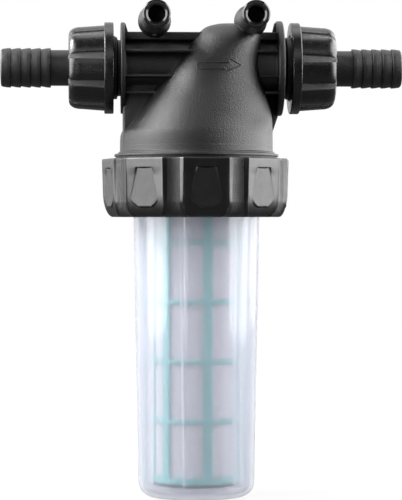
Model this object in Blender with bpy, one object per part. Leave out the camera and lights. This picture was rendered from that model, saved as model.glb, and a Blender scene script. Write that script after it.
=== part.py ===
"""In-line pressure filter for a sprayer section: a moulded head with two hose unions,
a see-through bowl held by a big lobed ring nut, and a mesh cartridge inside.

Metres, +Z up. The origin is the centre of the bowl's flat base, +X is the flow direction
and the two mounting bosses point to -Y.
"""

import math

import bmesh
import bpy
from mathutils import Matrix, Vector

MM = 0.001

# Clearances.
SEAT_GAP = 0.3 * MM  # between faces that rest on each other
THREAD_GAP = 1.3 * MM  # radial room for the threads, which the solids leave out
SLIDE_GAP = 0.5 * MM  # radial room round a piece that turns or slides
OVERLAP = 1.0 * MM  # how deep fused shapes reach into each other
LONG_CUT = 2.0 * MM  # how far a cutter runs past the wall that it opens

# Facets round a circle.
BIG_ROUND = 48
MEDIUM_ROUND = 36
SMALL_ROUND = 28

# Filter cartridge, a standard size of 58 by 200. The bowl and the head are sized round it.
CARTRIDGE_R = 29.0 * MM
CARTRIDGE_LENGTH = 201.0 * MM
CARTRIDGE_Z = 9.7 * MM
FRAME_THICK = 2.0 * MM
FRAME_END_BAND = 4.0 * MM
FRAME_TOP_BAND = 5.0 * MM
FRAME_BAND = 2.8 * MM
FRAME_SECTIONS = 5
FRAME_RIB_COUNT = 6
FRAME_RIB_WIDTH = 5.2 * MM
FRAME_RIB_PHASE = 13.0
FRAME_GAP_STEPS = 4  # facets across each window of the cage
COLLAR_INSET = 0.2 * MM  # of the cage's end collars inside its end bands
MESH_THICK = 0.5 * MM
SEAT_STEP = 5.0 * MM  # from the cartridge's outside in to the spigots that its ends slip over
SEAT_WALL = 3.3 * MM
SEAT_ENGAGEMENT = 5.0 * MM
CARTRIDGE_SEAL_THICK = 1.7 * MM
CARTRIDGE_TOP_Z = CARTRIDGE_Z + CARTRIDGE_LENGTH
MESH_R = CARTRIDGE_R - FRAME_THICK - SEAT_GAP
SEAT_R = CARTRIDGE_R - SEAT_STEP
SEAT_BORE_R = SEAT_R - SEAT_WALL
TOP_SHOULDER_Z = CARTRIDGE_TOP_Z + CARTRIDGE_SEAL_THICK + 2 * SEAT_GAP
LOW_SHOULDER_Z = CARTRIDGE_Z - CARTRIDGE_SEAL_THICK - 2 * SEAT_GAP

# Bowl.
BOWL_WALL = 2.8 * MM
BOWL_FLOOR = 3.0 * MM
BOWL_RIB_COUNT = 6
BOWL_RIB_PHASE = -15.0
BOWL_RIB_DEPTH = 3.2 * MM
BOWL_RIB_TOP_WIDTH = 6.2 * MM
BOWL_RIB_FOOT_WIDTH = 2.3 * MM
BOWL_RIB_TIP_SHARE = 0.64  # how much of its width a rib keeps at its tip
RIB_TO_CARTRIDGE = 3.8 * MM
BOWL_TAPER = 3.15 * MM  # how much wider the neck is than the heel
BOWL_HEEL_RUN = 8.5 * MM
BOWL_HEEL_Z = 10.0 * MM
BOWL_HEEL_CURVE = ((0.37, 0.07), (0.56, 0.2), (0.78, 0.47), (0.92, 0.73), (1.0, 1.0))
BOWL_FLOOR_CORNER = 0.35  # share of the heel's run that the inner corner is broken by
BOWL_SEAT_PAD = 4.4 * MM  # how wide the raised seat of the low seal is
BOWL_FLANGE_RUN = 11.55 * MM
BOWL_FLANGE_THICK = 5.0 * MM
BOWL_SPIGOT_LENGTH = 7.7 * MM
BOWL_SPIGOT_WALL = 3.0 * MM
BOWL_SEAL_THICK = 2.4 * MM
BOWL_SEAL_FLAT = 0.6  # share of the seal's width that is flat
BOWL_HEEL_R = CARTRIDGE_R + RIB_TO_CARTRIDGE + BOWL_RIB_DEPTH + BOWL_WALL
BOWL_NECK_R = BOWL_HEEL_R + BOWL_TAPER
BOWL_BASE_R = BOWL_HEEL_R - BOWL_HEEL_RUN
BOWL_FLANGE_R = BOWL_NECK_R + BOWL_FLANGE_RUN

# Ring nut that carries the bowl.
LOBE_COUNT = 9
LOBE_CORNER = 0.45 * MM  # how far the long edges of a lobe are broken
LOBE_SHOULDER = 0.9  # share of a lobe's half angle at which its flat meets the broken edge
RING_DROP = 25.2 * MM  # from the cartridge's top down to the ring nut's base
RING_HEIGHT = 38.5 * MM
RING_SHOULDER = 5.0 * MM
RING_TO_FLANGE = 1.5 * MM
RING_GROOVE_DEPTH = 3.7 * MM
RING_WALL_TO_THREAD = 4.6 * MM
RING_LOBE_HALF = 14.2
RING_LOBE_FOOT_HALF = 16.3
RING_LOBE_NARROWING = 4.6  # degrees that a lobe's half angle loses round the lower edge
RING_ROUND = 6.5 * MM
RING_CROWN = 0.9 * MM  # how far the top edge is broken
RING_DRAFT = 0.7 * MM
GROOVE_DRAFT = 0.2 * MM
RING_DRAFT_START = 12.35 * MM
RING_LEAST_GROOVE = 1.0 * MM
RING_PHASE = 3.5
PAD_TOP_WIDTH = 11.6 * MM
PAD_LOW_WIDTH = 20.2 * MM
PAD_HEIGHT = 26.8 * MM
PAD_TOP_DEPTH = 1.2 * MM
PAD_LOW_DEPTH = 2.2 * MM
PAD_TOP_DROP = 5.6 * MM  # from the ring nut's top face down to the pad
PAD_END_SHARE = 0.75  # height of the pad's rounded lower end over its half width
RING_BORE_R = BOWL_FLANGE_R + RING_TO_FLANGE
RING_LOBE_R = RING_BORE_R + RING_WALL_TO_THREAD + RING_GROOVE_DEPTH  # at the edges of the flat lobes
RING_BASE_Z = CARTRIDGE_TOP_Z - RING_DROP
RING_TOP_Z = RING_BASE_Z + RING_HEIGHT
FLANGE_Z = RING_BASE_Z + RING_SHOULDER + SEAT_GAP
FLANGE_TOP_Z = FLANGE_Z + BOWL_FLANGE_THICK
SEAL_Z = FLANGE_TOP_Z + SEAT_GAP
SKIRT_Z = SEAL_Z + BOWL_SEAL_THICK + SEAT_GAP

# Head.
HEAD_WALL = 3.7 * MM
SKIRT_WALL = 6.4 * MM
SKIRT_CHAMFER = 0.8 * MM
NECK_STEP = 2.8 * MM  # from the skirt's thread in to the neck
COLLAR_STEP = 0.9 * MM  # from the skirt's thread out to the collar
COLLAR_GAP = 1.6 * MM  # open gap between the ring nut and the head's collar
COLLAR_THICK = 1.9 * MM
COVE = ((0.5 * MM, 0.7 * MM), (0.0, 1.8 * MM), (0.0, 6.0 * MM))  # over the neck, and above the collar
CHAMBER_RISE = 20.4 * MM  # of the inlet chamber's roof above the collar
CHAMBER_SLOPE = (9.0 * MM, 10.0 * MM)
PORT_RISE = 58.8 * MM  # of the port axis above the collar
CROWN_RISE = 29.5 * MM  # of the dome's crown above the port axis
PORT_CENTRE_X = 3.5 * MM
PORT_BORE_R = 15.5 * MM
PORT_TUBE_R = 20.0 * MM
PORT_THREAD_R = 20.6 * MM
PORT_RELIEF_R = 18.6 * MM
PORT_RELIEF_LENGTH = 1.9 * MM
PORT_CHAMFER = 0.9 * MM
LEFT_FLANGE_RUN = 3.0 * MM  # from the neck's radius out to the flange's outer face
RIGHT_FLANGE_RUN = 2.6 * MM
LEFT_SPIGOT_LENGTH = 23.1 * MM
LEFT_FLANGE_R = 30.3 * MM
LEFT_FLANGE_THICK = 2.8 * MM
RIGHT_FLANGE_R = 31.5 * MM
RIGHT_FLANGE_THICK = 4.2 * MM
RIB_HEIGHTS = (9.9 * MM, -6.5 * MM, -17.2 * MM)  # from the port axis
RIB_THICK = 1.8 * MM
RIB_REACH_R = 27.5 * MM
TOP_PLATE_LOW = 17.8 * MM  # from the port axis
TOP_PLATE_HIGH = 23.2 * MM
TOP_PLATE_HALF_WIDTH = 13.0 * MM
DUCT_INSET = 1.9 * MM  # of the inlet duct's outer wall inside the neck's radius
DUCT_LENGTH = 25.0 * MM
DUCT_HALF_WIDTH = 16.0 * MM
DUCT_WALL = 3.4 * MM
DUCT_FOOT = 5.0 * MM  # of the duct's casing above the collar
DUCT_RUN_IN = 8.0 * MM  # how far the duct's hollow reaches down into the chamber
GUSSET_THICK = 3.6 * MM
GUSSET_TOES = (2.6 * MM, 0.4 * MM)
GUSSET_TIP_DROP = 0.5 * MM
RIGHT_GUSSET_TOES = (4.2 * MM, 2.2 * MM, 0.9 * MM)
RIGHT_GUSSET_TIP_DROP = 1.2 * MM
LOW_GUSSET_RUN = 17.0 * MM
LOW_GUSSET_FOOT = 15.4 * MM  # above the collar
LOW_GUSSET_ROOT = (2.4 * MM, 2.2 * MM)
INLET_LENGTH = 44.0 * MM  # from the spigot's end face to the inlet bore's shoulder
INLET_CONE = 6.0 * MM
INLET_TIP_SHARE = 0.55
OUTLET_START = 6.0 * MM
# The way up from the cartridge to the outlet: height as a share of the run from the chamber's
# roof to the port axis, then radius and sideways shift as shares of the seat's bore.
RISE_STATIONS = ((0.156, 1.0, 0.0), (0.625, 0.942, 0.193), (1.0, 0.874, 0.435), (1.406, 0.638, 0.676))
RECESS_ROOM = 1.0 * MM  # round the cartridge's top where it enters the head
SKIRT_R = RING_BORE_R - THREAD_GAP
SKIRT_BORE_R = SKIRT_R - SKIRT_WALL
NECK_R = SKIRT_R - NECK_STEP
COLLAR_R = SKIRT_R + COLLAR_STEP
CHAMBER_R = min(NECK_R - HEAD_WALL, SKIRT_BORE_R)
COLLAR_Z = RING_TOP_Z + COLLAR_GAP
CHAMBER_TOP_Z = COLLAR_Z + CHAMBER_RISE
PORT_Z = COLLAR_Z + PORT_RISE
DOME_TOP_Z = PORT_Z + CROWN_RISE
LEFT_FLANGE_FACE = NECK_R + LEFT_FLANGE_RUN  # from the port centre, as the next two
RIGHT_FLANGE_FACE = NECK_R + RIGHT_FLANGE_RUN
PORT_REACH = LEFT_FLANGE_FACE + LEFT_SPIGOT_LENGTH
DUCT_LEFT_X = DUCT_INSET - NECK_R
DUCT_RIGHT_X = DUCT_LEFT_X + DUCT_LENGTH

# Mounting bosses.
LEFT_BOSS_INSET = 22.2 * MM  # from the flange's outer face in to the boss's axis
RIGHT_BOSS_INSET = 21.8 * MM
BOSS_RISE = 30.3 * MM  # above the port axis
BOSS_FRONT_Y = -66.0 * MM
BOSS_BACK_Y = 15.0 * MM
BOSS_R = 8.65 * MM
BOSS_ROOT_R = 9.0 * MM
BOSS_EDGE = 0.5 * MM
BOSS_FLARE_R = 11.2 * MM
BOSS_FLARE = ((0.0, 5.0 * MM), (0.6 * MM, 2.2 * MM))
BOSS_FLARE_BACK = 2.5 * MM
BOSS_BORE_R = 5.5 * MM
BOSS_BORE_DEPTH = 20.0 * MM
BOSS_CHAMFER = 0.6 * MM
BOSS_RIB_THICK = 2.4 * MM
BOSS_RIB_REACH = 7.0 * MM
BOSS_RIB_DROP = 1.6 * MM
BOSS_Z = PORT_Z + BOSS_RISE
BOSS_XS = (
    PORT_CENTRE_X - LEFT_FLANGE_FACE + LEFT_BOSS_INSET,
    PORT_CENTRE_X + RIGHT_FLANGE_FACE - RIGHT_BOSS_INSET,
)

# Hose unions, measured from the port centre.
NUT_TO_FLANGE = 4.7 * MM
NUT_FLANGE_R = 30.3 * MM
NUT_FLANGE_THICK = 6.2 * MM
NUT_STEP = 0.1 * MM  # height over which the flange drops to the lobes
NUT_BODY_R = 28.3 * MM
NUT_NECK_R = 27.2 * MM
NUT_END_R = 22.8 * MM
NUT_END_WALL = 5.4 * MM
NUT_ROUND = 6.4 * MM
NUT_GROOVE_DEPTH = 1.3 * MM
NUT_LOBE_HALF = 15.3
NUT_LOBE_FOOT_HALF = 16.8
NUT_PHASES = {"left": 34.3, "right": 9.9}  # how far each nut happens to be screwed round
TAIL_BORE_R = 9.5 * MM
TAIL_R = 11.85 * MM
TAIL_LENGTH = 50.5 * MM  # past the collar
TAIL_COLLAR_R = 20.4 * MM
TAIL_COLLAR_THICK = 3.3 * MM
TAIL_SEAL_THICK = 1.7 * MM
TAIL_SEAL_INNER_R = 16.1 * MM
BARB_COUNT = 5
BARB_PITCH = 6.6 * MM
BARB_RAMP = 0.15 * MM
BARB_R = 13.15 * MM
BARB_LOW_R = 12.3 * MM
BARB_TIP_R = 11.6 * MM
BARB_TIP_CHAMFER = (0.7 * MM, 0.8 * MM)
NUT_INNER_FACE = LEFT_FLANGE_FACE + NUT_TO_FLANGE
NUT_BORE_R = PORT_THREAD_R + THREAD_GAP
TAIL_COLLAR_START = PORT_REACH + TAIL_SEAL_THICK + 2 * SEAT_GAP
TAIL_COLLAR_STOP = TAIL_COLLAR_START + TAIL_COLLAR_THICK
TAIL_END = TAIL_COLLAR_STOP + TAIL_LENGTH
NUT_OUTER_FACE = TAIL_COLLAR_STOP + SEAT_GAP + NUT_END_WALL

# The dome from the neck to the crown. Each station gives its height as a share of the way from
# the collar to the crown, then its left edge, right edge and half depth in neck radii.
DOME_STATIONS = (
    (0.034, -1.0, 1.0, 1.0),
    (0.163, -0.99, 0.998, 0.992),
    (0.2254, -0.923, 0.996, 0.969),
    (0.3216, -0.806, 0.982, 0.914),
    (0.4349, -0.672, 0.923, 0.841),
    (0.5481, -0.525, 0.855, 0.762),
    (0.6659, -0.365, 0.819, 0.695),
    (0.786, -0.189, 0.829, 0.629),
    (0.8766, -0.055, 0.857, 0.55),
    (0.9388, 0.043, 0.857, 0.442),
    (0.9773, 0.134, 0.815, 0.314),
    (1.0, 0.275, 0.688, 0.138),
)


def clear_scene():
    for old in list(bpy.data.objects):
        bpy.data.objects.remove(old)


def material(name, colour, roughness, alpha=1.0):
    made = bpy.data.materials.new(name)
    made.use_nodes = True
    shader = made.node_tree.nodes["Principled BSDF"]
    shader.inputs["Base Color"].default_value = (*colour, 1.0)
    shader.inputs["Roughness"].default_value = roughness
    shader.inputs["Metallic"].default_value = 0.0
    shader.inputs["Alpha"].default_value = alpha
    return made


def new_object(name, bm, finish=None):
    """Closes off a bmesh as a linked, outward facing, smooth shaded object."""
    bmesh.ops.recalc_face_normals(bm, faces=bm.faces)
    mesh = bpy.data.meshes.new(name)
    bm.to_mesh(mesh)
    bm.free()
    mesh.shade_smooth()
    mesh.set_sharp_from_angle(angle=math.radians(35))
    made = bpy.data.objects.new(name, mesh)
    bpy.context.scene.collection.objects.link(made)
    if finish:
        made.data.materials.append(finish)
    return made


def skin(name, rings, finish=None, closed=False):
    """A body skinned over rings of equally many points; open stacks get a flat cap at each end."""
    bm = bmesh.new()
    loops = [[bm.verts.new(point) for point in ring] for ring in rings]
    pairs = list(zip(loops, loops[1:]))
    if closed:
        pairs.append((loops[-1], loops[0]))
    for low, high in pairs:
        for i in range(len(low)):
            j = (i + 1) % len(low)
            bm.faces.new((low[i], low[j], high[j], high[i]))
    if not closed:
        bm.faces.new(loops[0])
        bm.faces.new(loops[-1])
    return new_object(name, bm, finish)


def circle(radius, height, segments):
    turns = [2 * math.pi * i / segments for i in range(segments)]
    return [Vector((radius * math.cos(t), radius * math.sin(t), height)) for t in turns]


def revolve(name, profile, segments, finish=None, closed=False):
    """Turns a profile of (radius, height) points round Z."""
    return skin(name, [circle(r, z, segments) for r, z in profile], finish, closed)


def box(name, low, high):
    bm = bmesh.new()
    bmesh.ops.create_cube(bm, size=1.0)
    size = Vector(high) - Vector(low)
    centre = (Vector(high) + Vector(low)) / 2
    stretch = Matrix.Translation(centre) @ Matrix.Diagonal((*size, 1.0))
    bmesh.ops.transform(bm, matrix=stretch, verts=bm.verts)
    return new_object(name, bm)


def upright_plate(name, outline, thick, y=0.0):
    """A plate in the XZ plane, centred on y, from its outline of (x, z) points."""
    sides = (y - thick / 2, y + thick / 2)
    return skin(name, [[Vector((x, side, z)) for x, z in outline] for side in sides])


def apply_modifiers(target):
    """Replaces an object's mesh by what its modifiers make of it."""
    depsgraph = bpy.context.evaluated_depsgraph_get()
    mesh = bpy.data.meshes.new_from_object(target.evaluated_get(depsgraph))
    target.modifiers.clear()
    target.data = mesh


def combine(target, others, operation):
    """Fuses others to target (UNION) or cuts them from it (DIFFERENCE), one at a time."""
    for other in others:
        step = target.modifiers.new("step", "BOOLEAN")
        step.operation = operation
        step.solver = "EXACT"
        step.object = other
        apply_modifiers(target)
        bpy.data.objects.remove(other)
    return target


def lay_along(target, direction):
    """Turns a body that was built round Z so that its +Z points along direction."""
    turn = Vector((0, 0, 1)).rotation_difference(Vector(direction)).to_matrix().to_4x4()
    target.data.transform(turn)
    return target


def shift(target, offset):
    target.data.transform(Matrix.Translation(offset))
    return target


def facing(degrees):
    """Unit vector that points to -Y at 0 degrees and to +X at 90 degrees."""
    t = math.radians(degrees)
    return Vector((math.sin(t), -math.cos(t), 0.0))


def lobed_ring(height, edge_r, floor_r, half, foot_half, phase, flat=False):
    """One level of a lobed grip: wide lobes, flat or round, with narrow grooves between them."""
    pitch = 360.0 / LOBE_COUNT
    corner = LOBE_CORNER if floor_r < edge_r else 0.0
    shoulder = half * LOBE_SHOULDER
    middle_r = edge_r * math.cos(math.radians(half)) if flat else edge_r
    shoulder_r = middle_r / math.cos(math.radians(shoulder)) if flat else edge_r
    points = []
    for lobe in range(LOBE_COUNT):
        middle = phase + lobe * pitch
        steps = (
            (-pitch / 2, floor_r),
            (-foot_half, floor_r),
            (-half, edge_r - corner),
            (-shoulder, shoulder_r),
            (0.0, middle_r),
            (shoulder, shoulder_r),
            (half, edge_r - corner),
            (foot_half, floor_r),
        )
        for angle, radius in steps:
            points.append(facing(middle + angle) * radius + Vector((0, 0, height)))
    return points


def build_bowl(finish):
    wall_slope = (BOWL_NECK_R - BOWL_HEEL_R) / (RING_BASE_Z - BOWL_HEEL_Z)
    top_r = BOWL_NECK_R + wall_slope * (FLANGE_Z - RING_BASE_Z)
    rim_z = FLANGE_TOP_Z + BOWL_SPIGOT_LENGTH
    rim_r = SKIRT_BORE_R - SLIDE_GAP
    throat_z = RING_BASE_Z + RING_SHOULDER
    outer = [(BOWL_BASE_R, 0.0)]
    for share_r, share_z in BOWL_HEEL_CURVE:
        outer.append((BOWL_BASE_R + share_r * BOWL_HEEL_RUN, share_z * BOWL_HEEL_Z))
    outer += [
        (top_r, FLANGE_Z),
        (BOWL_FLANGE_R, FLANGE_Z),
        (BOWL_FLANGE_R, FLANGE_TOP_Z),
        (rim_r, FLANGE_TOP_Z),
        (rim_r, rim_z),
    ]
    inner = [
        (rim_r - BOWL_SPIGOT_WALL, rim_z),
        (rim_r - BOWL_SPIGOT_WALL, FLANGE_TOP_Z),
        (top_r - BOWL_WALL, throat_z),
        (BOWL_HEEL_R - BOWL_WALL, BOWL_HEEL_Z),
        (BOWL_HEEL_R - BOWL_WALL - BOWL_FLOOR_CORNER * BOWL_HEEL_RUN, BOWL_FLOOR),
        (SEAT_R + BOWL_SEAT_PAD, BOWL_FLOOR),
        (SEAT_R + BOWL_SEAT_PAD, LOW_SHOULDER_Z),
        (SEAT_R, LOW_SHOULDER_Z),
        (SEAT_R, CARTRIDGE_Z + SEAT_ENGAGEMENT),
        (SEAT_BORE_R, CARTRIDGE_Z + SEAT_ENGAGEMENT),
        (SEAT_BORE_R, BOWL_FLOOR),
    ]
    bowl = revolve("bowl", outer + inner, BIG_ROUND, finish)
    low_r = BOWL_HEEL_R - BOWL_WALL
    high_r = BOWL_NECK_R - BOWL_WALL
    ribs = []
    for i in range(BOWL_RIB_COUNT):
        out = facing(BOWL_RIB_PHASE + i * 360.0 / BOWL_RIB_COUNT)
        side = Vector((-out.y, out.x, 0.0))
        rings = []
        for z, wall_r, width in (
            (BOWL_HEEL_Z - OVERLAP, low_r, BOWL_RIB_FOOT_WIDTH),
            (RING_BASE_Z, high_r, BOWL_RIB_TOP_WIDTH),
        ):
            root = out * (wall_r + OVERLAP) + Vector((0, 0, z))
            tip = out * (wall_r - BOWL_RIB_DEPTH) + Vector((0, 0, z))
            wide = side * width / 2
            narrow = wide * BOWL_RIB_TIP_SHARE
            rings.append([root - wide, root + wide, tip + narrow, tip - narrow])
        ribs.append(skin("bowl_rib", rings))
    return combine(bowl, ribs, "UNION")


def build_ring_nut(finish):
    """The big lobed nut. Its mesh is built round its own axis with its base at height 0."""
    floor_r = RING_LOBE_R - RING_GROOVE_DEPTH
    foot_r = RING_LOBE_R - RING_DRAFT
    levels = [
        # height, lobe radius, groove radius, how far the lobe narrows in degrees
        (RING_HEIGHT, RING_LOBE_R - RING_CROWN, floor_r - RING_CROWN, 0.0),
        (RING_HEIGHT - RING_CROWN, RING_LOBE_R, floor_r, 0.0),
        (RING_DRAFT_START, foot_r, floor_r - GROOVE_DRAFT, 0.0),
    ]
    for turn in (30.0, 55.0, 78.0):
        drop = math.sin(math.radians(turn))
        lobe_r = foot_r - RING_ROUND * (1.0 - math.cos(math.radians(turn)))
        groove_r = min(floor_r - 1.5 * GROOVE_DRAFT, lobe_r - RING_LEAST_GROOVE)
        levels.append((RING_ROUND * (1.0 - drop), lobe_r, groove_r, RING_LOBE_NARROWING * turn / 90.0))
    base_r = RING_LOBE_R - RING_ROUND
    levels.append((0.0, base_r, base_r - RING_LEAST_GROOVE, RING_LOBE_NARROWING))
    rings = [
        lobed_ring(z, edge, floor, RING_LOBE_HALF - less, RING_LOBE_FOOT_HALF - less, RING_PHASE, flat=True)
        for z, edge, floor, less in levels
    ]
    nut = skin("bowl_ring_nut", rings, finish)
    throat_r = BOWL_NECK_R + SLIDE_GAP + SEAT_GAP
    bore = revolve(
        "bore",
        [
            (throat_r, -LONG_CUT),
            (throat_r, RING_SHOULDER),
            (RING_BORE_R, RING_SHOULDER),
            (RING_BORE_R, RING_HEIGHT + LONG_CUT),
        ],
        BIG_ROUND,
    )
    pads = [pad_cutter(RING_PHASE + i * 360.0 / LOBE_COUNT) for i in range(LOBE_COUNT)]
    combine(nut, [bore, *pads], "DIFFERENCE")
    nut.location = (0, 0, RING_BASE_Z)
    return nut


def pad_cutter(degrees):
    """A shield shaped block whose flat inner face leaves one grip pad on a lobe."""
    out = facing(degrees)
    side = Vector((-out.y, out.x, 0.0))
    top = RING_HEIGHT - PAD_TOP_DROP
    low = top - PAD_HEIGHT
    bend = PAD_LOW_WIDTH / 2
    drop = bend * PAD_END_SHARE
    outline = [(-PAD_TOP_WIDTH / 2, top), (-bend, low + drop)]
    for turn in (30, 60, 90, 120, 150):
        t = math.radians(turn)
        outline.append((-bend * math.cos(t), low + drop * (1 - math.sin(t))))
    outline += [(bend, low + drop), (PAD_TOP_WIDTH / 2, top)]
    flat_r = RING_LOBE_R * math.cos(math.radians(RING_LOBE_HALF))
    slope = (PAD_LOW_DEPTH - PAD_TOP_DEPTH) / PAD_HEIGHT
    faces = []
    for inner in (True, False):
        ring = []
        for w, z in outline:
            depth = flat_r - PAD_TOP_DEPTH - slope * (top - z) if inner else RING_LOBE_R + LONG_CUT
            ring.append(out * depth + side * w + Vector((0, 0, z)))
        faces.append(ring)
    return skin("pad", faces)


def dome_ring(station, segments):
    """One level of the dome: an ellipse that runs from its left edge to its right edge."""
    rise, left, right, deep = station
    z = COLLAR_Z + rise * (DOME_TOP_Z - COLLAR_Z)
    middle = NECK_R * (left + right) / 2
    half = NECK_R * (right - left) / 2
    turns = [2 * math.pi * i / segments for i in range(segments)]
    return [Vector((middle + half * math.cos(t), NECK_R * deep * math.sin(t), z)) for t in turns]


def build_neck():
    """Collar, neck and the skirt that the ring nut screws onto."""
    cove_z = COLLAR_Z + COLLAR_THICK
    edge = COLLAR_STEP / 2
    profile = [
        (SKIRT_R - SKIRT_CHAMFER, SKIRT_Z),
        (SKIRT_R, SKIRT_Z + SKIRT_CHAMFER),
        (SKIRT_R, COLLAR_Z),
        (COLLAR_R, COLLAR_Z),
        (COLLAR_R, cove_z - edge),
        (COLLAR_R - edge, cove_z),
    ]
    profile += [(NECK_R + out, cove_z + up) for out, up in COVE]
    return revolve("filter_head", profile, BIG_ROUND)


def build_port_line():
    """Both threaded spigots, their flanges and the tube between them, as one turned body."""
    left_groove = LEFT_FLANGE_FACE + PORT_RELIEF_LENGTH
    right_groove = RIGHT_FLANGE_FACE + PORT_RELIEF_LENGTH
    left_inner = LEFT_FLANGE_FACE - LEFT_FLANGE_THICK
    right_inner = RIGHT_FLANGE_FACE - RIGHT_FLANGE_THICK
    profile = [
        (PORT_THREAD_R - PORT_CHAMFER, -PORT_REACH),
        (PORT_THREAD_R, -PORT_REACH + PORT_CHAMFER),
        (PORT_THREAD_R, -left_groove - PORT_CHAMFER),
        (PORT_RELIEF_R, -left_groove),
        (PORT_RELIEF_R, -LEFT_FLANGE_FACE),
        (LEFT_FLANGE_R, -LEFT_FLANGE_FACE),
        (LEFT_FLANGE_R, -left_inner),
        (PORT_TUBE_R, -left_inner),
        (PORT_TUBE_R, right_inner),
        (RIGHT_FLANGE_R - PORT_CHAMFER, right_inner),
        (RIGHT_FLANGE_R, right_inner + PORT_CHAMFER),
        (RIGHT_FLANGE_R, RIGHT_FLANGE_FACE - PORT_CHAMFER),
        (RIGHT_FLANGE_R - PORT_CHAMFER, RIGHT_FLANGE_FACE),
        (PORT_RELIEF_R, RIGHT_FLANGE_FACE),
        (PORT_RELIEF_R, right_groove),
        (PORT_THREAD_R, right_groove + PORT_CHAMFER),
        (PORT_THREAD_R, PORT_REACH - PORT_CHAMFER),
        (PORT_THREAD_R - PORT_CHAMFER, PORT_REACH),
    ]
    line = revolve("port_line", profile, MEDIUM_ROUND)
    return shift(lay_along(line, (1, 0, 0)), (PORT_CENTRE_X, 0, PORT_Z))


def build_ribs():
    """Flat ribs along the ports and the thick plate on top that carries the bosses."""
    left = PORT_CENTRE_X - LEFT_FLANGE_FACE + OVERLAP
    right = PORT_CENTRE_X + RIGHT_FLANGE_FACE - OVERLAP
    made = []
    for height in RIB_HEIGHTS:
        reach = math.sqrt(RIB_REACH_R**2 - height**2)
        low = (left, -reach, PORT_Z + height - RIB_THICK / 2)
        high = (right, reach, PORT_Z + height + RIB_THICK / 2)
        made.append(box("rib", low, high))
    made.append(
        box(
            "top_plate",
            (left, -TOP_PLATE_HALF_WIDTH, PORT_Z + TOP_PLATE_LOW),
            (right, TOP_PLATE_HALF_WIDTH, PORT_Z + TOP_PLATE_HIGH),
        )
    )
    return made


def build_webs():
    """The inlet duct's casing under the left port and the upright gussets at both flanges."""
    top = PORT_Z + TOP_PLATE_HIGH
    left = PORT_CENTRE_X - LEFT_FLANGE_FACE + LEFT_FLANGE_THICK
    right = PORT_CENTRE_X + RIGHT_FLANGE_FACE - RIGHT_FLANGE_THICK
    duct = box(
        "duct",
        (DUCT_LEFT_X, -DUCT_HALF_WIDTH, COLLAR_Z + DUCT_FOOT),
        (DUCT_RIGHT_X, DUCT_HALF_WIDTH, PORT_Z),
    )
    left_tip = PORT_Z + LEFT_FLANGE_R - GUSSET_TIP_DROP
    left_gusset = upright_plate(
        "gusset",
        [
            (left - OVERLAP, left_tip),
            (left - OVERLAP, top - OVERLAP),
            (left + GUSSET_TOES[0], top - OVERLAP),
            (left + GUSSET_TOES[1], left_tip),
        ],
        GUSSET_THICK,
    )
    right_tip = PORT_Z + RIGHT_FLANGE_R - RIGHT_GUSSET_TIP_DROP
    right_gusset = upright_plate(
        "gusset",
        [
            (right + OVERLAP, right_tip),
            (right + OVERLAP, top - OVERLAP),
            (right - RIGHT_GUSSET_TOES[0], top - OVERLAP),
            (right - RIGHT_GUSSET_TOES[1], top + OVERLAP),
            (right - RIGHT_GUSSET_TOES[2], right_tip),
        ],
        GUSSET_THICK,
    )
    root_in, root_up = LOW_GUSSET_ROOT
    foot_z = COLLAR_Z + LOW_GUSSET_FOOT
    low_gusset = upright_plate(
        "gusset",
        [
            (right + root_in, PORT_Z - RIGHT_FLANGE_R + root_up),
            (right + root_in, PORT_Z - PORT_RELIEF_R),
            (right - LOW_GUSSET_RUN, PORT_Z - PORT_RELIEF_R),
            (right - LOW_GUSSET_RUN, foot_z),
            (NECK_R - GUSSET_TOES[1], foot_z),
        ],
        GUSSET_THICK,
    )
    return [duct, left_gusset, right_gusset, low_gusset]


def build_bosses():
    """Two long round bosses that stand out past the ring nut, each with a rib under it."""
    plate_y = -TOP_PLATE_HALF_WIDTH
    made = []
    for x in BOSS_XS:
        profile = [
            (BOSS_R - BOSS_EDGE, -BOSS_FRONT_Y),
            (BOSS_R, -BOSS_FRONT_Y - BOSS_EDGE),
            *[(BOSS_ROOT_R + out, ahead - plate_y) for out, ahead in BOSS_FLARE],
            (BOSS_FLARE_R, -plate_y - BOSS_EDGE),
            (BOSS_ROOT_R, -plate_y - BOSS_FLARE_BACK),
            (BOSS_ROOT_R, -BOSS_BACK_Y),
        ]
        boss = lay_along(revolve("boss", profile, SMALL_ROUND), (0, -1, 0))
        made.append(shift(boss, (x, 0, BOSS_Z)))
        rib = box(
            "boss_rib",
            (x - BOSS_RIB_THICK / 2, plate_y - BOSS_RIB_REACH, BOSS_Z - BOSS_ROOT_R - BOSS_RIB_DROP),
            (x + BOSS_RIB_THICK / 2, plate_y + OVERLAP, BOSS_Z),
        )
        made.append(rib)
    return made


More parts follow.
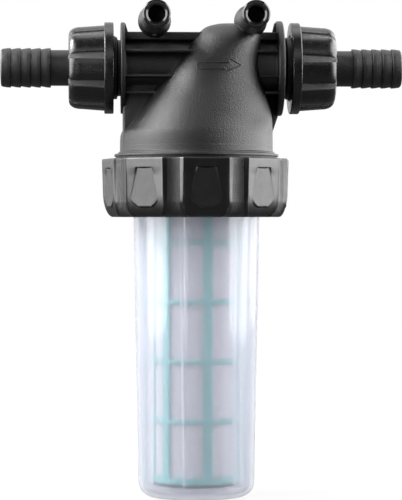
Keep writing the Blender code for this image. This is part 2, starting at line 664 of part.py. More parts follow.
def head_cavities():
    """Everything that is hollow in the head: the inlet path, the outlet path and the boss bores."""
    slope_in, slope_down = CHAMBER_SLOPE
    recess_r = CARTRIDGE_R + RECESS_ROOM
    chamber = revolve(
        "chamber",
        [
            (SEAT_R, SKIRT_Z - LONG_CUT),
            (CHAMBER_R, SKIRT_Z - LONG_CUT),
            (CHAMBER_R, CHAMBER_TOP_Z - slope_down),
            (CHAMBER_R - slope_in, CHAMBER_TOP_Z),
            (recess_r, CHAMBER_TOP_Z),
            (recess_r, TOP_SHOULDER_Z),
            (SEAT_R, TOP_SHOULDER_Z),
        ],
        BIG_ROUND,
        closed=True,
    )
    under_seat = revolve(
        "under_seat",
        [
            (SEAT_R + OVERLAP, SKIRT_Z - 2 * LONG_CUT),
            (SEAT_R + OVERLAP, CARTRIDGE_TOP_Z - SEAT_ENGAGEMENT - LONG_CUT),
        ],
        SMALL_ROUND,
    )
    bends = [(SKIRT_Z - LONG_CUT, SEAT_BORE_R, 0.0)]
    for height, width, aside in RISE_STATIONS:
        z = CHAMBER_TOP_Z + height * (PORT_Z - CHAMBER_TOP_Z)
        bends.append((z, SEAT_BORE_R * width, SEAT_BORE_R * aside))
    rise = skin(
        "rise",
        [[point + Vector((x, 0, 0)) for point in circle(r, z, SMALL_ROUND)] for z, r, x in bends],
    )
    outlet = revolve(
        "outlet",
        [(PORT_BORE_R, OUTLET_START), (PORT_BORE_R, PORT_REACH + LONG_CUT)],
        SMALL_ROUND,
    )
    inlet = revolve(
        "inlet",
        [
            (PORT_BORE_R * INLET_TIP_SHARE, PORT_REACH - INLET_LENGTH - INLET_CONE),
            (PORT_BORE_R, PORT_REACH - INLET_LENGTH),
            (PORT_BORE_R, PORT_REACH + LONG_CUT),
        ],
        SMALL_ROUND,
    )
    shift(lay_along(outlet, (1, 0, 0)), (PORT_CENTRE_X, 0, PORT_Z))
    shift(lay_along(inlet, (-1, 0, 0)), (PORT_CENTRE_X, 0, PORT_Z))
    hollow = DUCT_HALF_WIDTH - DUCT_WALL
    drop = box(
        "drop",
        (DUCT_LEFT_X + DUCT_WALL, -hollow, CHAMBER_TOP_Z - DUCT_RUN_IN),
        (DUCT_RIGHT_X - DUCT_WALL, hollow, PORT_Z),
    )
    bores = []
    for x in BOSS_XS:
        bore = revolve(
            "boss_bore",
            [
                (BOSS_BORE_R, -BOSS_FRONT_Y - BOSS_BORE_DEPTH),
                (BOSS_BORE_R, -BOSS_FRONT_Y - BOSS_CHAMFER),
                (BOSS_BORE_R + BOSS_CHAMFER, -BOSS_FRONT_Y),
                (BOSS_BORE_R + BOSS_CHAMFER, -BOSS_FRONT_Y + LONG_CUT),
            ],
            SMALL_ROUND,
        )
        bores.append(shift(lay_along(bore, (0, -1, 0)), (x, 0, BOSS_Z)))
    return [chamber, under_seat, rise, outlet, inlet, drop, *bores]


def build_head(finish):
    head = build_neck()
    dome = skin("dome", [dome_ring(station, BIG_ROUND) for station in DOME_STATIONS])
    solids = [dome, build_port_line(), *build_ribs(), *build_webs(), *build_bosses()]
    combine(head, solids, "UNION")
    combine(head, head_cavities(), "DIFFERENCE")
    head.data.materials.clear()
    head.data.materials.append(finish)
    return head


def build_bowl_seal(finish):
    middle_r = (SKIRT_BORE_R + SKIRT_R) / 2
    half = SKIRT_WALL / 2 - OVERLAP
    quarter = BOWL_SEAL_THICK / 4
    top = SEAL_Z + BOWL_SEAL_THICK
    flat = half * BOWL_SEAL_FLAT
    profile = [
        (middle_r - half, SEAL_Z + quarter),
        (middle_r - flat, SEAL_Z),
        (middle_r + flat, SEAL_Z),
        (middle_r + half, SEAL_Z + quarter),
        (middle_r + half, top - quarter),
        (middle_r + flat, top),
        (middle_r - flat, top),
        (middle_r - half, top - quarter),
    ]
    return revolve("bowl_seal", profile, MEDIUM_ROUND, finish, closed=True)


def flat_washer(name, inner_r, outer_r, low, high, finish):
    profile = [(inner_r, low), (outer_r, low), (outer_r, high), (inner_r, high)]
    return revolve(name, profile, SMALL_ROUND, finish, closed=True)


def build_cartridge_frame(finish):
    """A round cage: bands, upright ribs and two end collars, built cell by cell."""
    outer_r = CARTRIDGE_R
    inner_r = CARTRIDGE_R - FRAME_THICK
    length = CARTRIDGE_LENGTH
    heights = [0.0, FRAME_END_BAND]
    section = (length - FRAME_END_BAND / 2 - FRAME_TOP_BAND / 2) / FRAME_SECTIONS
    for i in range(1, FRAME_SECTIONS):
        middle = FRAME_END_BAND / 2 + i * section
        heights += [middle - FRAME_BAND / 2, middle + FRAME_BAND / 2]
    heights += [length - FRAME_TOP_BAND, length]
    rib_half = math.degrees(FRAME_RIB_WIDTH / 2 / outer_r)
    pitch = 360.0 / FRAME_RIB_COUNT
    angles = []
    for rib in range(FRAME_RIB_COUNT):
        middle = FRAME_RIB_PHASE + rib * pitch
        angles.append(middle - rib_half)
        gap = (pitch - 2 * rib_half) / FRAME_GAP_STEPS
        angles += [middle + rib_half + gap * step for step in range(FRAME_GAP_STEPS)]
    across = len(angles)
    bm = bmesh.new()
    outer = [[bm.verts.new(facing(a) * outer_r + Vector((0, 0, z))) for a in angles] for z in heights]
    inner = [[bm.verts.new(facing(a) * inner_r + Vector((0, 0, z))) for a in angles] for z in heights]

    def solid(row, column):
        if row < 0 or row >= len(heights) - 1:
            return False
        return row % 2 == 0 or column % (FRAME_GAP_STEPS + 1) == 0

    def face(*corners):
        bm.faces.new(corners)

    for row in range(len(heights) - 1):
        for column in range(across):
            if not solid(row, column):
                continue
            after = (column + 1) % across
            for wall in (outer, inner):
                low, high = wall[row], wall[row + 1]
                face(low[column], low[after], high[after], high[column])
            for level, beyond in ((row, row - 1), (row + 1, row + 1)):
                if not solid(beyond, column):
                    face(outer[level][column], outer[level][after], inner[level][after], inner[level][column])
            for edge, beside in ((column, (column - 1) % across), (after, after)):
                if not solid(row, beside):
                    face(outer[row][edge], outer[row + 1][edge], inner[row + 1][edge], inner[row][edge])
    frame = new_object("cartridge_frame", bm, finish)
    collar_r = SEAT_R + SEAT_GAP
    rim_r = inner_r + FRAME_THICK / 2
    collars = [
        flat_washer("collar", collar_r, rim_r, low + COLLAR_INSET, high - COLLAR_INSET, None)
        for low, high in ((0.0, FRAME_END_BAND), (length - FRAME_TOP_BAND, length))
    ]
    combine(frame, collars, "UNION")
    frame.data.materials.clear()
    frame.data.materials.append(finish)
    frame.location = (0, 0, CARTRIDGE_Z)
    return frame


def build_cartridge_mesh(finish):
    low = CARTRIDGE_Z + FRAME_END_BAND + SEAT_GAP
    high = CARTRIDGE_TOP_Z - FRAME_TOP_BAND - SEAT_GAP
    return flat_washer("cartridge_mesh", MESH_R - MESH_THICK, MESH_R, low, high, finish)


def union_nut_mesh():
    """The lobed union nut, built along Z with heights measured from the port centre."""
    flange_end = NUT_INNER_FACE + NUT_FLANGE_THICK
    body_end = NUT_OUTER_FACE - NUT_ROUND
    rings = [
        lobed_ring(NUT_INNER_FACE, NUT_FLANGE_R, NUT_FLANGE_R, NUT_LOBE_HALF, NUT_LOBE_FOOT_HALF, 0.0),
        lobed_ring(flange_end, NUT_FLANGE_R, NUT_FLANGE_R, NUT_LOBE_HALF, NUT_LOBE_FOOT_HALF, 0.0),
    ]
    stations = [(flange_end + NUT_STEP, NUT_BODY_R), (body_end, NUT_NECK_R)]
    for turn in (35.0, 65.0, 90.0):
        rise = math.sin(math.radians(turn))
        inset = 1.0 - math.cos(math.radians(turn))
        stations.append((body_end + NUT_ROUND * rise, NUT_NECK_R + (NUT_END_R - NUT_NECK_R) * inset))
    for z, face_r in stations:
        floor_r = max(face_r - NUT_GROOVE_DEPTH, NUT_END_R - NUT_GROOVE_DEPTH / 2)
        rings.append(lobed_ring(z, face_r, floor_r, NUT_LOBE_HALF, NUT_LOBE_FOOT_HALF, 0.0))
    nut = skin("union_nut", rings)
    bore = revolve(
        "bore",
        [
            (NUT_BORE_R, NUT_INNER_FACE - LONG_CUT),
            (NUT_BORE_R, TAIL_COLLAR_STOP + SEAT_GAP),
            (TAIL_R + SLIDE_GAP, TAIL_COLLAR_STOP + SEAT_GAP),
            (TAIL_R + SLIDE_GAP, NUT_OUTER_FACE + LONG_CUT),
        ],
        SMALL_ROUND,
    )
    combine(nut, [bore], "DIFFERENCE")
    mesh = nut.data
    bpy.data.objects.remove(nut)
    return mesh


def hose_tail_mesh():
    """A hose tail with a clamped collar, a plain neck and sawtooth barbs."""
    start = TAIL_END - BARB_COUNT * BARB_PITCH
    profile = [
        (TAIL_BORE_R, TAIL_COLLAR_START),
        (TAIL_COLLAR_R, TAIL_COLLAR_START),
        (TAIL_COLLAR_R, TAIL_COLLAR_STOP),
        (TAIL_R, TAIL_COLLAR_STOP),
        (TAIL_R, start),
    ]
    for barb in range(BARB_COUNT):
        low = start + barb * BARB_PITCH
        profile.append((BARB_R, low + BARB_RAMP))
        if barb < BARB_COUNT - 1:
            profile.append((BARB_LOW_R, low + BARB_PITCH))
    chamfer_in, chamfer_back = BARB_TIP_CHAMFER
    profile.append((BARB_TIP_R + chamfer_in, TAIL_END - chamfer_back))
    profile += [(BARB_TIP_R, TAIL_END), (TAIL_BORE_R, TAIL_END)]
    tail = revolve("hose_tail", profile, SMALL_ROUND, closed=True)
    mesh = tail.data
    bpy.data.objects.remove(tail)
    return mesh


def tail_seal_mesh():
    low = PORT_REACH + SEAT_GAP
    outer_r = PORT_THREAD_R - PORT_CHAMFER
    seal = flat_washer("tail_seal", TAIL_SEAL_INNER_R, outer_r, low, low + TAIL_SEAL_THICK, None)
    mesh = seal.data
    bpy.data.objects.remove(seal)
    return mesh


def build_unions(black, rubber):
    """The same nut, hose tail and seal on both sides, each placed on the port axis."""
    shared = (
        ("union_nut", union_nut_mesh(), black),
        ("hose_tail", hose_tail_mesh(), black),
        ("tail_seal", tail_seal_mesh(), rubber),
    )
    for side, sense in (("left", -1), ("right", 1)):
        for name, mesh, finish in shared:
            piece = bpy.data.objects.new(f"{side}_{name}", mesh)
            bpy.context.scene.collection.objects.link(piece)
            if not mesh.materials:
                mesh.materials.append(finish)
            spin = math.radians(NUT_PHASES[side]) if name == "union_nut" else 0.0
            piece.rotation_mode = "ZYX"
            piece.rotation_euler = (0, sense * math.pi / 2, spin)
            piece.location = (PORT_CENTRE_X, 0, PORT_Z)


def main():
    clear_scene()
    black = material("black_plastic", (0.02, 0.02, 0.021), 0.45)
    milky = material("milky_plastic", (0.78, 0.82, 0.88), 0.3, alpha=0.45)
    green = material("green_plastic", (0.18, 0.5, 0.5), 0.45)
    cloth = material("filter_cloth", (0.72, 0.72, 0.73), 0.8)
    rubber = material("rubber", (0.015, 0.015, 0.015), 0.7)
    build_head(black)
    build_ring_nut(black)
    build_bowl(milky)
    build_bowl_seal(rubber)
    build_cartridge_frame(green)
    build_cartridge_mesh(cloth)
    seal_inner = SEAT_R + SEAT_GAP
    flat_washer(
        "cartridge_top_seal",
        seal_inner,
        CARTRIDGE_R - SEAT_GAP,
        CARTRIDGE_TOP_Z + SEAT_GAP,
        CARTRIDGE_TOP_Z + SEAT_GAP + CARTRIDGE_SEAL_THICK,
        rubber,
    )
    flat_washer(
        "cartridge_low_seal",
        seal_inner,
        CARTRIDGE_R - SEAT_GAP,
        LOW_SHOULDER_Z + SEAT_GAP,
        CARTRIDGE_Z - SEAT_GAP,
        rubber,
    )
    build_unions(black, rubber)


main()
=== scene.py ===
"""Looks of the in-line pressure filter.

Fine surfaces, materials, light and camera are built round the CAD frame. Lengths are in metres, except
in the tables that say mm. Z is up, the ports lie along X and the camera looks along +Y.
"""

import math

import bmesh
import bpy
import numpy as np
from mathutils import Matrix, Vector


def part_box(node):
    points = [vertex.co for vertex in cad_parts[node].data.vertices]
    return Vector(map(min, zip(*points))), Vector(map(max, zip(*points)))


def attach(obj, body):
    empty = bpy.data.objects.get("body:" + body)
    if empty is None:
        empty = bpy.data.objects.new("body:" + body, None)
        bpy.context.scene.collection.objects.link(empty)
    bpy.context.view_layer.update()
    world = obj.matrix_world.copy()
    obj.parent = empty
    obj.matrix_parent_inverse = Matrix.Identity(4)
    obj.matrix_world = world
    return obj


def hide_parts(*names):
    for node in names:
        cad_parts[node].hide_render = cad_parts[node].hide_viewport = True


MM = 0.001
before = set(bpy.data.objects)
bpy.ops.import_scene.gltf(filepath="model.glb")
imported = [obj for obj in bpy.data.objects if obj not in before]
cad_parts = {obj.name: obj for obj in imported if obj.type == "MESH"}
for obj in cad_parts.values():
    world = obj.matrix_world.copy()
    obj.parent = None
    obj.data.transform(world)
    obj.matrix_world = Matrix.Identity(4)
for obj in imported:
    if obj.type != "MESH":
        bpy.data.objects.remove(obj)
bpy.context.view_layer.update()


def extent(node, axis):
    """Lowest and highest coordinate of a CAD node on one axis."""
    low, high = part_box(node)
    return low[axis], high[axis]


RING_LOW, RING_TOP = extent("bowl_ring_nut", 2)
PORT_Z = sum(extent("left_hose_tail", 2)) / 2
PORT_X = (extent("left_hose_tail", 0)[0] + extent("right_hose_tail", 0)[1]) / 2
TAIL_END = extent("right_hose_tail", 0)[1] - PORT_X
TAIL_START = extent("right_hose_tail", 0)[0] - PORT_X
NUT_START = extent("right_union_nut", 0)[0] - PORT_X
NUT_END = extent("right_union_nut", 0)[1] - PORT_X
BOWL_PITCH, PORT_PITCH = 6.0 * MM, 2.309 * MM  # of the threads
SIDES = (("left", -1), ("right", 1))  # the ports, and which way each points along X


def facing(degrees):
    """Directions round Z. 0 degrees faces the camera and the angle grows towards +X."""
    t = np.radians(degrees)
    return np.stack([np.sin(t), -np.cos(t), np.zeros_like(t)], -1)


def smooth(x):
    """Goes from 0 to 1 as x does, level at both ends."""
    x = np.clip(x, 0.0, 1.0)
    return x * x * (3 - 2 * x)


def soft_step(x):
    """smooth() for one plain number."""
    return float(smooth(np.array(x)))


def add_object(name, data):
    made = bpy.data.objects.new(name, data)
    bpy.context.scene.collection.objects.link(made)
    return made


def finish_mesh(name, bm, sharp):
    """Makes a smooth object of a bmesh. Edges that turn by more than sharp degrees stay hard."""
    bmesh.ops.recalc_face_normals(bm, faces=bm.faces)
    mesh = bpy.data.meshes.new(name)
    bm.to_mesh(mesh)
    bm.free()
    mesh.shade_smooth()
    mesh.set_sharp_from_angle(angle=math.radians(sharp))
    return add_object(name, mesh)


def grid_mesh(name, rows, closed=False, sharp=40.0, grain=None):
    """Skins an array of rings, shape (rows, columns, 3). A closed stack joins its last row to its first.

    Grain holds a value for each vertex, for the vertex layer that some of the materials read.
    """
    count, across = rows.shape[:2]
    bm = bmesh.new()
    layer = bm.verts.layers.float.new("grain") if grain is not None else None
    verts = [[bm.verts.new(p) for p in ring] for ring in rows.tolist()]
    if layer is not None:
        for ring, values in zip(verts, grain):
            for vert, value in zip(ring, values):
                vert[layer] = float(value)
    spans = [(i, i + 1) for i in range(count - 1)] + ([(count - 1, 0)] if closed else [])
    for low, high in spans:
        a, b = verts[low], verts[high]
        for i in range(across):
            j = (i + 1) % across
            bm.faces.new((a[i], a[j], b[j], b[i]))
    if not closed:
        bm.faces.new(verts[0])
        bm.faces.new(verts[-1])
    return finish_mesh(name, bm, sharp)


def round_corners(profile, radius, steps=4, closed=False):
    """Replaces the corners of an (r, z) profile by short arcs. A point may carry its own radius."""
    points = [(p[0], p[1], p[2] if len(p) > 2 else radius) for p in profile]
    out = []
    count = len(points)
    for i, (r, z, rad) in enumerate(points):
        inner = closed or 0 < i < count - 1
        if not inner or rad <= 0:
            out.append((r, z))
            continue
        here = np.array([r, z])
        before = np.array(points[i - 1][:2])
        after = np.array(points[(i + 1) % count][:2])
        u, v = before - here, after - here
        lu, lv = np.linalg.norm(u), np.linalg.norm(v)
        if lu < 1e-9 or lv < 1e-9:
            out.append((r, z))
            continue
        u, v = u / lu, v / lv
        half = math.acos(max(-1.0, min(1.0, float(u @ v)))) / 2
        # a corner that is nearly folded or nearly straight stays as it is
        if half < 0.05 or half > math.pi / 2 - 0.02:
            out.append((r, z))
            continue
        # an arc takes less than half of each edge beside it
        reach = min(rad / math.tan(half), lu * 0.45, lv * 0.45)
        arc = reach * math.tan(half)
        centre = here + (u + v) / np.linalg.norm(u + v) * (arc / math.sin(half))
        start, stop = here + u * reach - centre, here + v * reach - centre
        sweep = math.atan2(start[0] * stop[1] - start[1] * stop[0], float(start @ stop))
        for k in range(steps + 1):
            t = sweep * k / steps
            c, s = math.cos(t), math.sin(t)
            x = centre[0] + start[0] * c - start[1] * s
            y = centre[1] + start[0] * s + start[1] * c
            out.append((x, y))
    return out


def revolve(name, profile, segments, closed=False, sharp=40.0):
    """Turns an (r, z) profile round Z."""
    angles = np.arange(segments) * 360.0 / segments
    rows = np.array([facing(angles) * r + np.array([0, 0, z]) for r, z in profile])
    return grid_mesh(name, rows, closed, sharp)


def break_edges(bm, width, segments):
    bmesh.ops.bevel(bm, geom=list(bm.edges), offset=width, segments=segments, profile=0.5, affect="EDGES")


def box(name, low, high, bevel=0.4 * MM, segments=3):
    bm = bmesh.new()
    bmesh.ops.create_cube(bm, size=1.0)
    size, centre = Vector(high) - Vector(low), (Vector(high) + Vector(low)) / 2
    fit = Matrix.Translation(centre) @ Matrix.Diagonal((*size, 1.0))
    bmesh.ops.transform(bm, matrix=fit, verts=bm.verts)
    if bevel:
        break_edges(bm, bevel, segments)
    return finish_mesh(name, bm, 50.0)


def plate(name, outline, thick):
    """An upright plate in the XZ plane with broken edges."""
    bm = bmesh.new()
    near = [bm.verts.new((x, -thick / 2, z)) for x, z in outline]
    far = [bm.verts.new((x, thick / 2, z)) for x, z in outline]
    bm.faces.new(near)
    bm.faces.new(far)
    for i in range(len(outline)):
        j = (i + 1) % len(outline)
        bm.faces.new((near[i], near[j], far[j], far[i]))
    bmesh.ops.recalc_face_normals(bm, faces=bm.faces)
    break_edges(bm, 0.5 * MM, 2)
    return finish_mesh(name, bm, 50.0)


def place(target, direction, at):
    """Turns a body built round Z so that +Z points along direction, then shifts it."""
    turn = Vector((0, 0, 1)).rotation_difference(Vector(direction)).to_matrix().to_4x4()
    target.data.transform(Matrix.Translation(Vector(at)) @ turn)
    return target


def on_port(target, sense):
    """Lays a body built round Z along the port axis: towards +X if sense is 1, towards -X if it is -1."""
    turn = Matrix.Rotation(math.pi / 2 * sense, 4, "Y")
    target.data.transform(Matrix.Translation((PORT_X, 0, PORT_Z)) @ turn)


def join(name, parts):
    """Makes one object of several; their walls may run into each other."""
    bm = bmesh.new()
    for part in parts:
        bm.from_mesh(part.data)
        bpy.data.objects.remove(part)
    mesh = bpy.data.meshes.new(name)
    bm.to_mesh(mesh)
    bm.free()
    return add_object(name, mesh)


def applied(target):
    """The mesh of an object with its modifiers or its curve's bevel applied."""
    graph = bpy.context.evaluated_depsgraph_get()
    return bpy.data.meshes.new_from_object(target.evaluated_get(graph))


def cut(target, cutter):
    """Takes the cutter out of the target and removes it."""
    step = target.modifiers.new("cut", "BOOLEAN")
    step.operation = "DIFFERENCE"
    step.solver = "EXACT"
    step.object = cutter
    mesh = applied(target)
    target.modifiers.clear()
    target.data = mesh
    bpy.data.objects.remove(cutter)
    return target


def helix(name, radius, depth, pitch, low, high, outward=True, around=96):
    """A right-handed thread ridge round Z that fades in and out at its ends."""
    # half the ridge's foot and half its crest as shares of the pitch, and the fade in degrees
    foot, crest, fade_span, sunk = 0.42, 0.14, 40.0, 0.15 * MM
    steps = int((high - low) / pitch * around)
    t = np.arange(steps + 1) / around * 360.0
    z = low + t / 360.0 * pitch
    fade = smooth(np.minimum(t, t[-1] - t) / fade_span)
    sign = 1.0 if outward else -1.0
    root, tip = radius - sign * sunk, radius + sign * depth
    rings = []
    for r, dz in ((root, -foot * pitch), (tip, -crest * pitch), (tip, crest * pitch), (root, foot * pitch)):
        reach = root + (r - root) * fade
        height = z + dz * (0.35 + 0.65 * fade)
        rings.append(facing(t) * reach[:, None] + np.stack([0 * z, 0 * z, height], -1))
    return grid_mesh(name, np.stack(rings, 1), False, 30.0)


def new_material(name):
    made = bpy.data.materials.new(name)
    made.use_nodes = True
    tree = made.node_tree
    tree.nodes.clear()
    return made, tree


def node(tree, kind, inputs=None, **values):
    """Adds a shader node.

    Inputs gives its sockets their numbers and colours, or the sockets that feed them.
    """
    made = tree.nodes.new(kind)
    for key, value in values.items():
        setattr(made, key, value)
    for key, value in (inputs or {}).items():
        if isinstance(value, bpy.types.NodeSocket):
            tree.links.new(value, made.inputs[key])
        else:
            made.inputs[key].default_value = value
    return made


def object_space(tree):
    return node(tree, "ShaderNodeTexCoord").outputs["Object"]


def vertex_layer(tree):
    """The values that grid_mesh was given as grain."""
    return node(tree, "ShaderNodeAttribute", attribute_name="grain").outputs["Fac"]


def noise(tree, where, scale, detail=2.0, rough=0.5):
    inputs = {"Scale": scale, "Detail": detail, "Roughness": rough, "Vector": where}
    return node(tree, "ShaderNodeTexNoise", inputs).outputs["Fac"]


def ramp(tree, source, low, high, to_low=0.0, to_high=1.0):
    """Turns low..high of the source into to_low..to_high and stays level outside."""
    inputs = {"From Min": low, "From Max": high, "To Min": to_low, "To Max": to_high, "Value": source}
    return node(tree, "ShaderNodeMapRange", inputs).outputs[0]


def maths(tree, operation, first, second=0.5):
    """An operation on one value doesn't use the second."""
    return node(tree, "ShaderNodeMath", {0: first, 1: second}, operation=operation).outputs[0]


def two_tone(tree, share, first, second):
    """Goes from the first colour to the second as share goes from 0 to 1."""
    return node(tree, "ShaderNodeMix", {0: share, 6: first, 7: second}, data_type="RGBA").outputs[2]


def bumpy(tree, height, strength, distance):
    inputs = {"Strength": strength, "Distance": distance, "Height": height}
    return node(tree, "ShaderNodeBump", inputs).outputs[0]


def mix_shaders(tree, share, first, second):
    """Share is how much of the second shader shows."""
    return node(tree, "ShaderNodeMixShader", {0: share, 1: first.outputs[0], 2: second.outputs[0]})


def show(tree, shader):
    node(tree, "ShaderNodeOutputMaterial", {0: shader.outputs[0]})


def black_plastic(
    name,
    colour,
    rough,
    grain_scale,
    grain_strength,
    grain_rough=None,
    soften=0.0,
    scuff=0.1,
    depth=0.9 * MM,
    pale=0.0,
):
    """Moulded black plastic with a fine grain and faint wear.

    With grain_rough, the vertex layer says where the surface is grained and as rough as that, and it is
    polished elsewhere. Pale is the colour of the grained zones, soften the radius that the shading gives
    to hard edges, scuff how far the roughness wanders and depth how deep the grain is.
    """
    made, tree = new_material(name)
    where = object_space(tree)
    fine = noise(tree, where, grain_scale, 2.0, 0.6)
    broad = noise(tree, where, 38.0, 4.0, 0.6)
    streak = noise(tree, where, 1100.0 if soften else 240.0)
    darker, lighter = ((*[c * by for c in colour], 1) for by in (0.75, 1.35))
    base = two_tone(tree, ramp(tree, broad, 0.3, 0.7), darker, lighter)
    level, strength = rough, grain_strength
    if grain_rough is not None:
        mask = vertex_layer(tree)
        level = ramp(tree, mask, 0.0, 1.0, rough, grain_rough)
        strength = ramp(tree, mask, 0.0, 1.0, grain_strength * 0.1, grain_strength)
        if pale:
            # grained zones scatter more light than the polished ones
            base = two_tone(tree, mask, base, (pale, pale, pale, 1))
    bump = {"Strength": strength, "Distance": depth, "Height": fine}
    if soften:
        bump["Normal"] = node(tree, "ShaderNodeBevel", {"Radius": soften}, samples=6).outputs[0]
    surface = {
        "Base Color": base,
        "Roughness": maths(tree, "ADD", level, ramp(tree, streak, 0.35, 0.75, -scuff / 2, scuff)),
        "IOR": 1.5,
        "Normal": node(tree, "ShaderNodeBump", bump).outputs[0],
    }
    show(tree, node(tree, "ShaderNodeBsdfPrincipled", surface))
    return made


BLACK = (0.004, 0.004, 0.0045)
HEAD_BLACK = black_plastic("head_black", (0.0045, 0.0045, 0.005), 0.38, 1250.0, 0.52, soften=0.5 * MM)
RING_BLACK = black_plastic("ring_black", BLACK, 0.33, 1700.0, 0.42, 0.46, scuff=0.05)
NUT_BLACK = black_plastic(
    "union_black", BLACK, 0.25, 1500.0, 1.0, 0.55, scuff=0.06, depth=1.6 * MM, pale=0.085
)
RIM_BLACK = black_plastic("rim_black", BLACK, 0.16, 1500.0, 0.1, scuff=0.05)
TAIL_BLACK = black_plastic("tail_black", (0.005, 0.005, 0.0055), 0.42, 1500.0, 0.3)


def bowl_material():
    """Milky natural plastic: most light goes through with a little blur and part scatters.

    It is milkier and paler where the vertex layer is high, which is on the ribs and most of all along their
    edges, where it paints two highlight lines.
    """
    made, tree = new_material("bowl_milky")
    # shares of the light that is blurred, of milk on the plain wall and at the ribs' edges, whose pale
    # lines are painted highlights, and of the gloss
    blurred, wall_milk, rib_glint_milk, glossy = 0.2, 0.25, 0.85, 0.014
    where, mask = object_space(tree), vertex_layer(tree)
    haze = noise(tree, where, 420.0, 3.0, 0.55)
    straight = node(tree, "ShaderNodeBsdfTransparent", {"Color": (0.945, 0.948, 0.968, 1)})
    blurring = {
        "Base Color": (0.95, 0.96, 0.99, 1),
        "Transmission Weight": 1.0,
        "IOR": 1.22,
        "Roughness": ramp(tree, haze, 0.3, 0.7, 0.29, 0.31),
    }
    clear = mix_shaders(tree, blurred, straight, node(tree, "ShaderNodeBsdfPrincipled", blurring))
    # the milk is paler on the ribs and palest along their edges, where it paints two highlight lines
    scattering = {
        "Base Color": two_tone(tree, mask, (0.5, 0.51, 0.56, 1), (0.93, 0.94, 0.97, 1)),
        "Roughness": 0.1,
        "Coat Weight": 1.0,
        "Coat Roughness": 0.05,
        "Normal": bumpy(tree, noise(tree, where, 260.0), 0.05, 0.0004),
    }
    through = node(tree, "ShaderNodeBsdfTranslucent", {"Color": (0.72, 0.735, 0.79, 1)})
    milk = mix_shaders(tree, 0.5, node(tree, "ShaderNodeBsdfPrincipled", scattering), through)
    uneven = ramp(tree, haze, 0.3, 0.7, -0.008, 0.008)
    share = maths(tree, "ADD", ramp(tree, mask, 0.0, 1.0, wall_milk, rib_glint_milk), uneven)
    gloss = node(tree, "ShaderNodeBsdfAnisotropic", {"Roughness": 0.07})
    show(tree, mix_shaders(tree, glossy, mix_shaders(tree, share, clear, milk), gloss))
    return made


def cage_material():
    made, tree = new_material("cage_green")
    where = object_space(tree)
    broad = noise(tree, where, 70.0, 3.0)
    surface = {
        "Base Color": two_tone(tree, broad, (0.15, 0.47, 0.45, 1), (0.21, 0.58, 0.55, 1)),
        "Roughness": 0.4,
        "Normal": bumpy(tree, noise(tree, where, 900.0), 0.15, 0.0002),
    }
    show(tree, node(tree, "ShaderNodeBsdfPrincipled", surface))
    return made


def cloth_material():
    """Woven filter cloth: threads both ways, drawn in the cloth's own flat coordinates."""
    made, tree = new_material("filter_cloth")
    thread_pitch = 0.75 * MM
    flat = node(tree, "ShaderNodeSeparateXYZ", {0: node(tree, "ShaderNodeUVMap").outputs[0]})
    waves = []
    for axis in (0, 1):
        turn = maths(tree, "MULTIPLY", flat.outputs[axis], 2 * math.pi / thread_pitch)
        waves.append(maths(tree, "SINE", turn))
    lift = ramp(tree, maths(tree, "MULTIPLY", *waves), -1.0, 1.0)
    surface = {
        "Base Color": two_tone(tree, lift, (0.9, 0.87, 0.89, 1), (0.98, 0.96, 0.98, 1)),
        "Roughness": 0.75,
        "Normal": bumpy(tree, lift, 0.6, 0.0002),
    }
    through = node(tree, "ShaderNodeBsdfTranslucent", {"Color": (0.9, 0.87, 0.88, 1)})
    show(tree, mix_shaders(tree, 0.45, node(tree, "ShaderNodeBsdfPrincipled", surface), through))
    return made


def rubber_material():
    made, tree = new_material("seal_rubber")
    dust = noise(tree, object_space(tree), 420.0, 4.0, 0.6)
    surface = {
        "Base Color": two_tone(tree, dust, (0.012, 0.012, 0.012, 1), (0.03, 0.03, 0.03, 1)),
        "Roughness": 0.62,
        "Normal": bumpy(tree, dust, 0.3, 0.0002),
    }
    show(tree, node(tree, "ShaderNodeBsdfPrincipled", surface))
    return made


BOWL_MILKY = bowl_material()
CAGE_GREEN = cage_material()
CLOTH = cloth_material()
RUBBER = rubber_material()


def dress(target, material, body, slot, *nodes):
    """Gives a piece its material, the body it rides and the CAD nodes that it replaces. The slot is not
    used.
    """
    target.data.materials.clear()
    target.data.materials.append(material)
    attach(target, body)
    if nodes:
        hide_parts(*nodes)


def whole_sector(side):
    """Mirrors the angles of half a sector, which run from the groove's middle to just before 0."""
    return np.concatenate([-side, [0.0], side[::-1][:-1]])


def all_round(phase, count, sector):
    """The angles of one sector repeated round the axis."""
    return (phase + np.arange(count)[:, None] * (360.0 / count) + sector[None, :]).ravel()


def sector_angles(half, foot, pitch, counts):
    """Angles across one sector, from groove middle to groove middle, that follow the lobe's edges."""
    floor, wall, land = counts
    side = [
        np.linspace(pitch / 2, foot, floor, endpoint=False),
        np.linspace(foot, half, wall, endpoint=False),
        np.linspace(half, 0.0, land, endpoint=False),
    ]
    return whole_sector(np.concatenate(side))


def ring_sector(half, foot, pitch):
    """Angles across one lobe of the ring nut, close together on its bevelled edges and steep walls."""
    side = [
        np.linspace(pitch / 2, foot, 7, endpoint=False),
        half + (foot - half) * np.array([1.0, 0.93, 0.85, 0.6, 0.3, 0.12]),
        half - np.array([0.0, 0.2, 0.4, 0.65]),
        np.linspace(half - 0.95, 0.0, 28, endpoint=False),
    ]
    return whole_sector(np.concatenate(side))


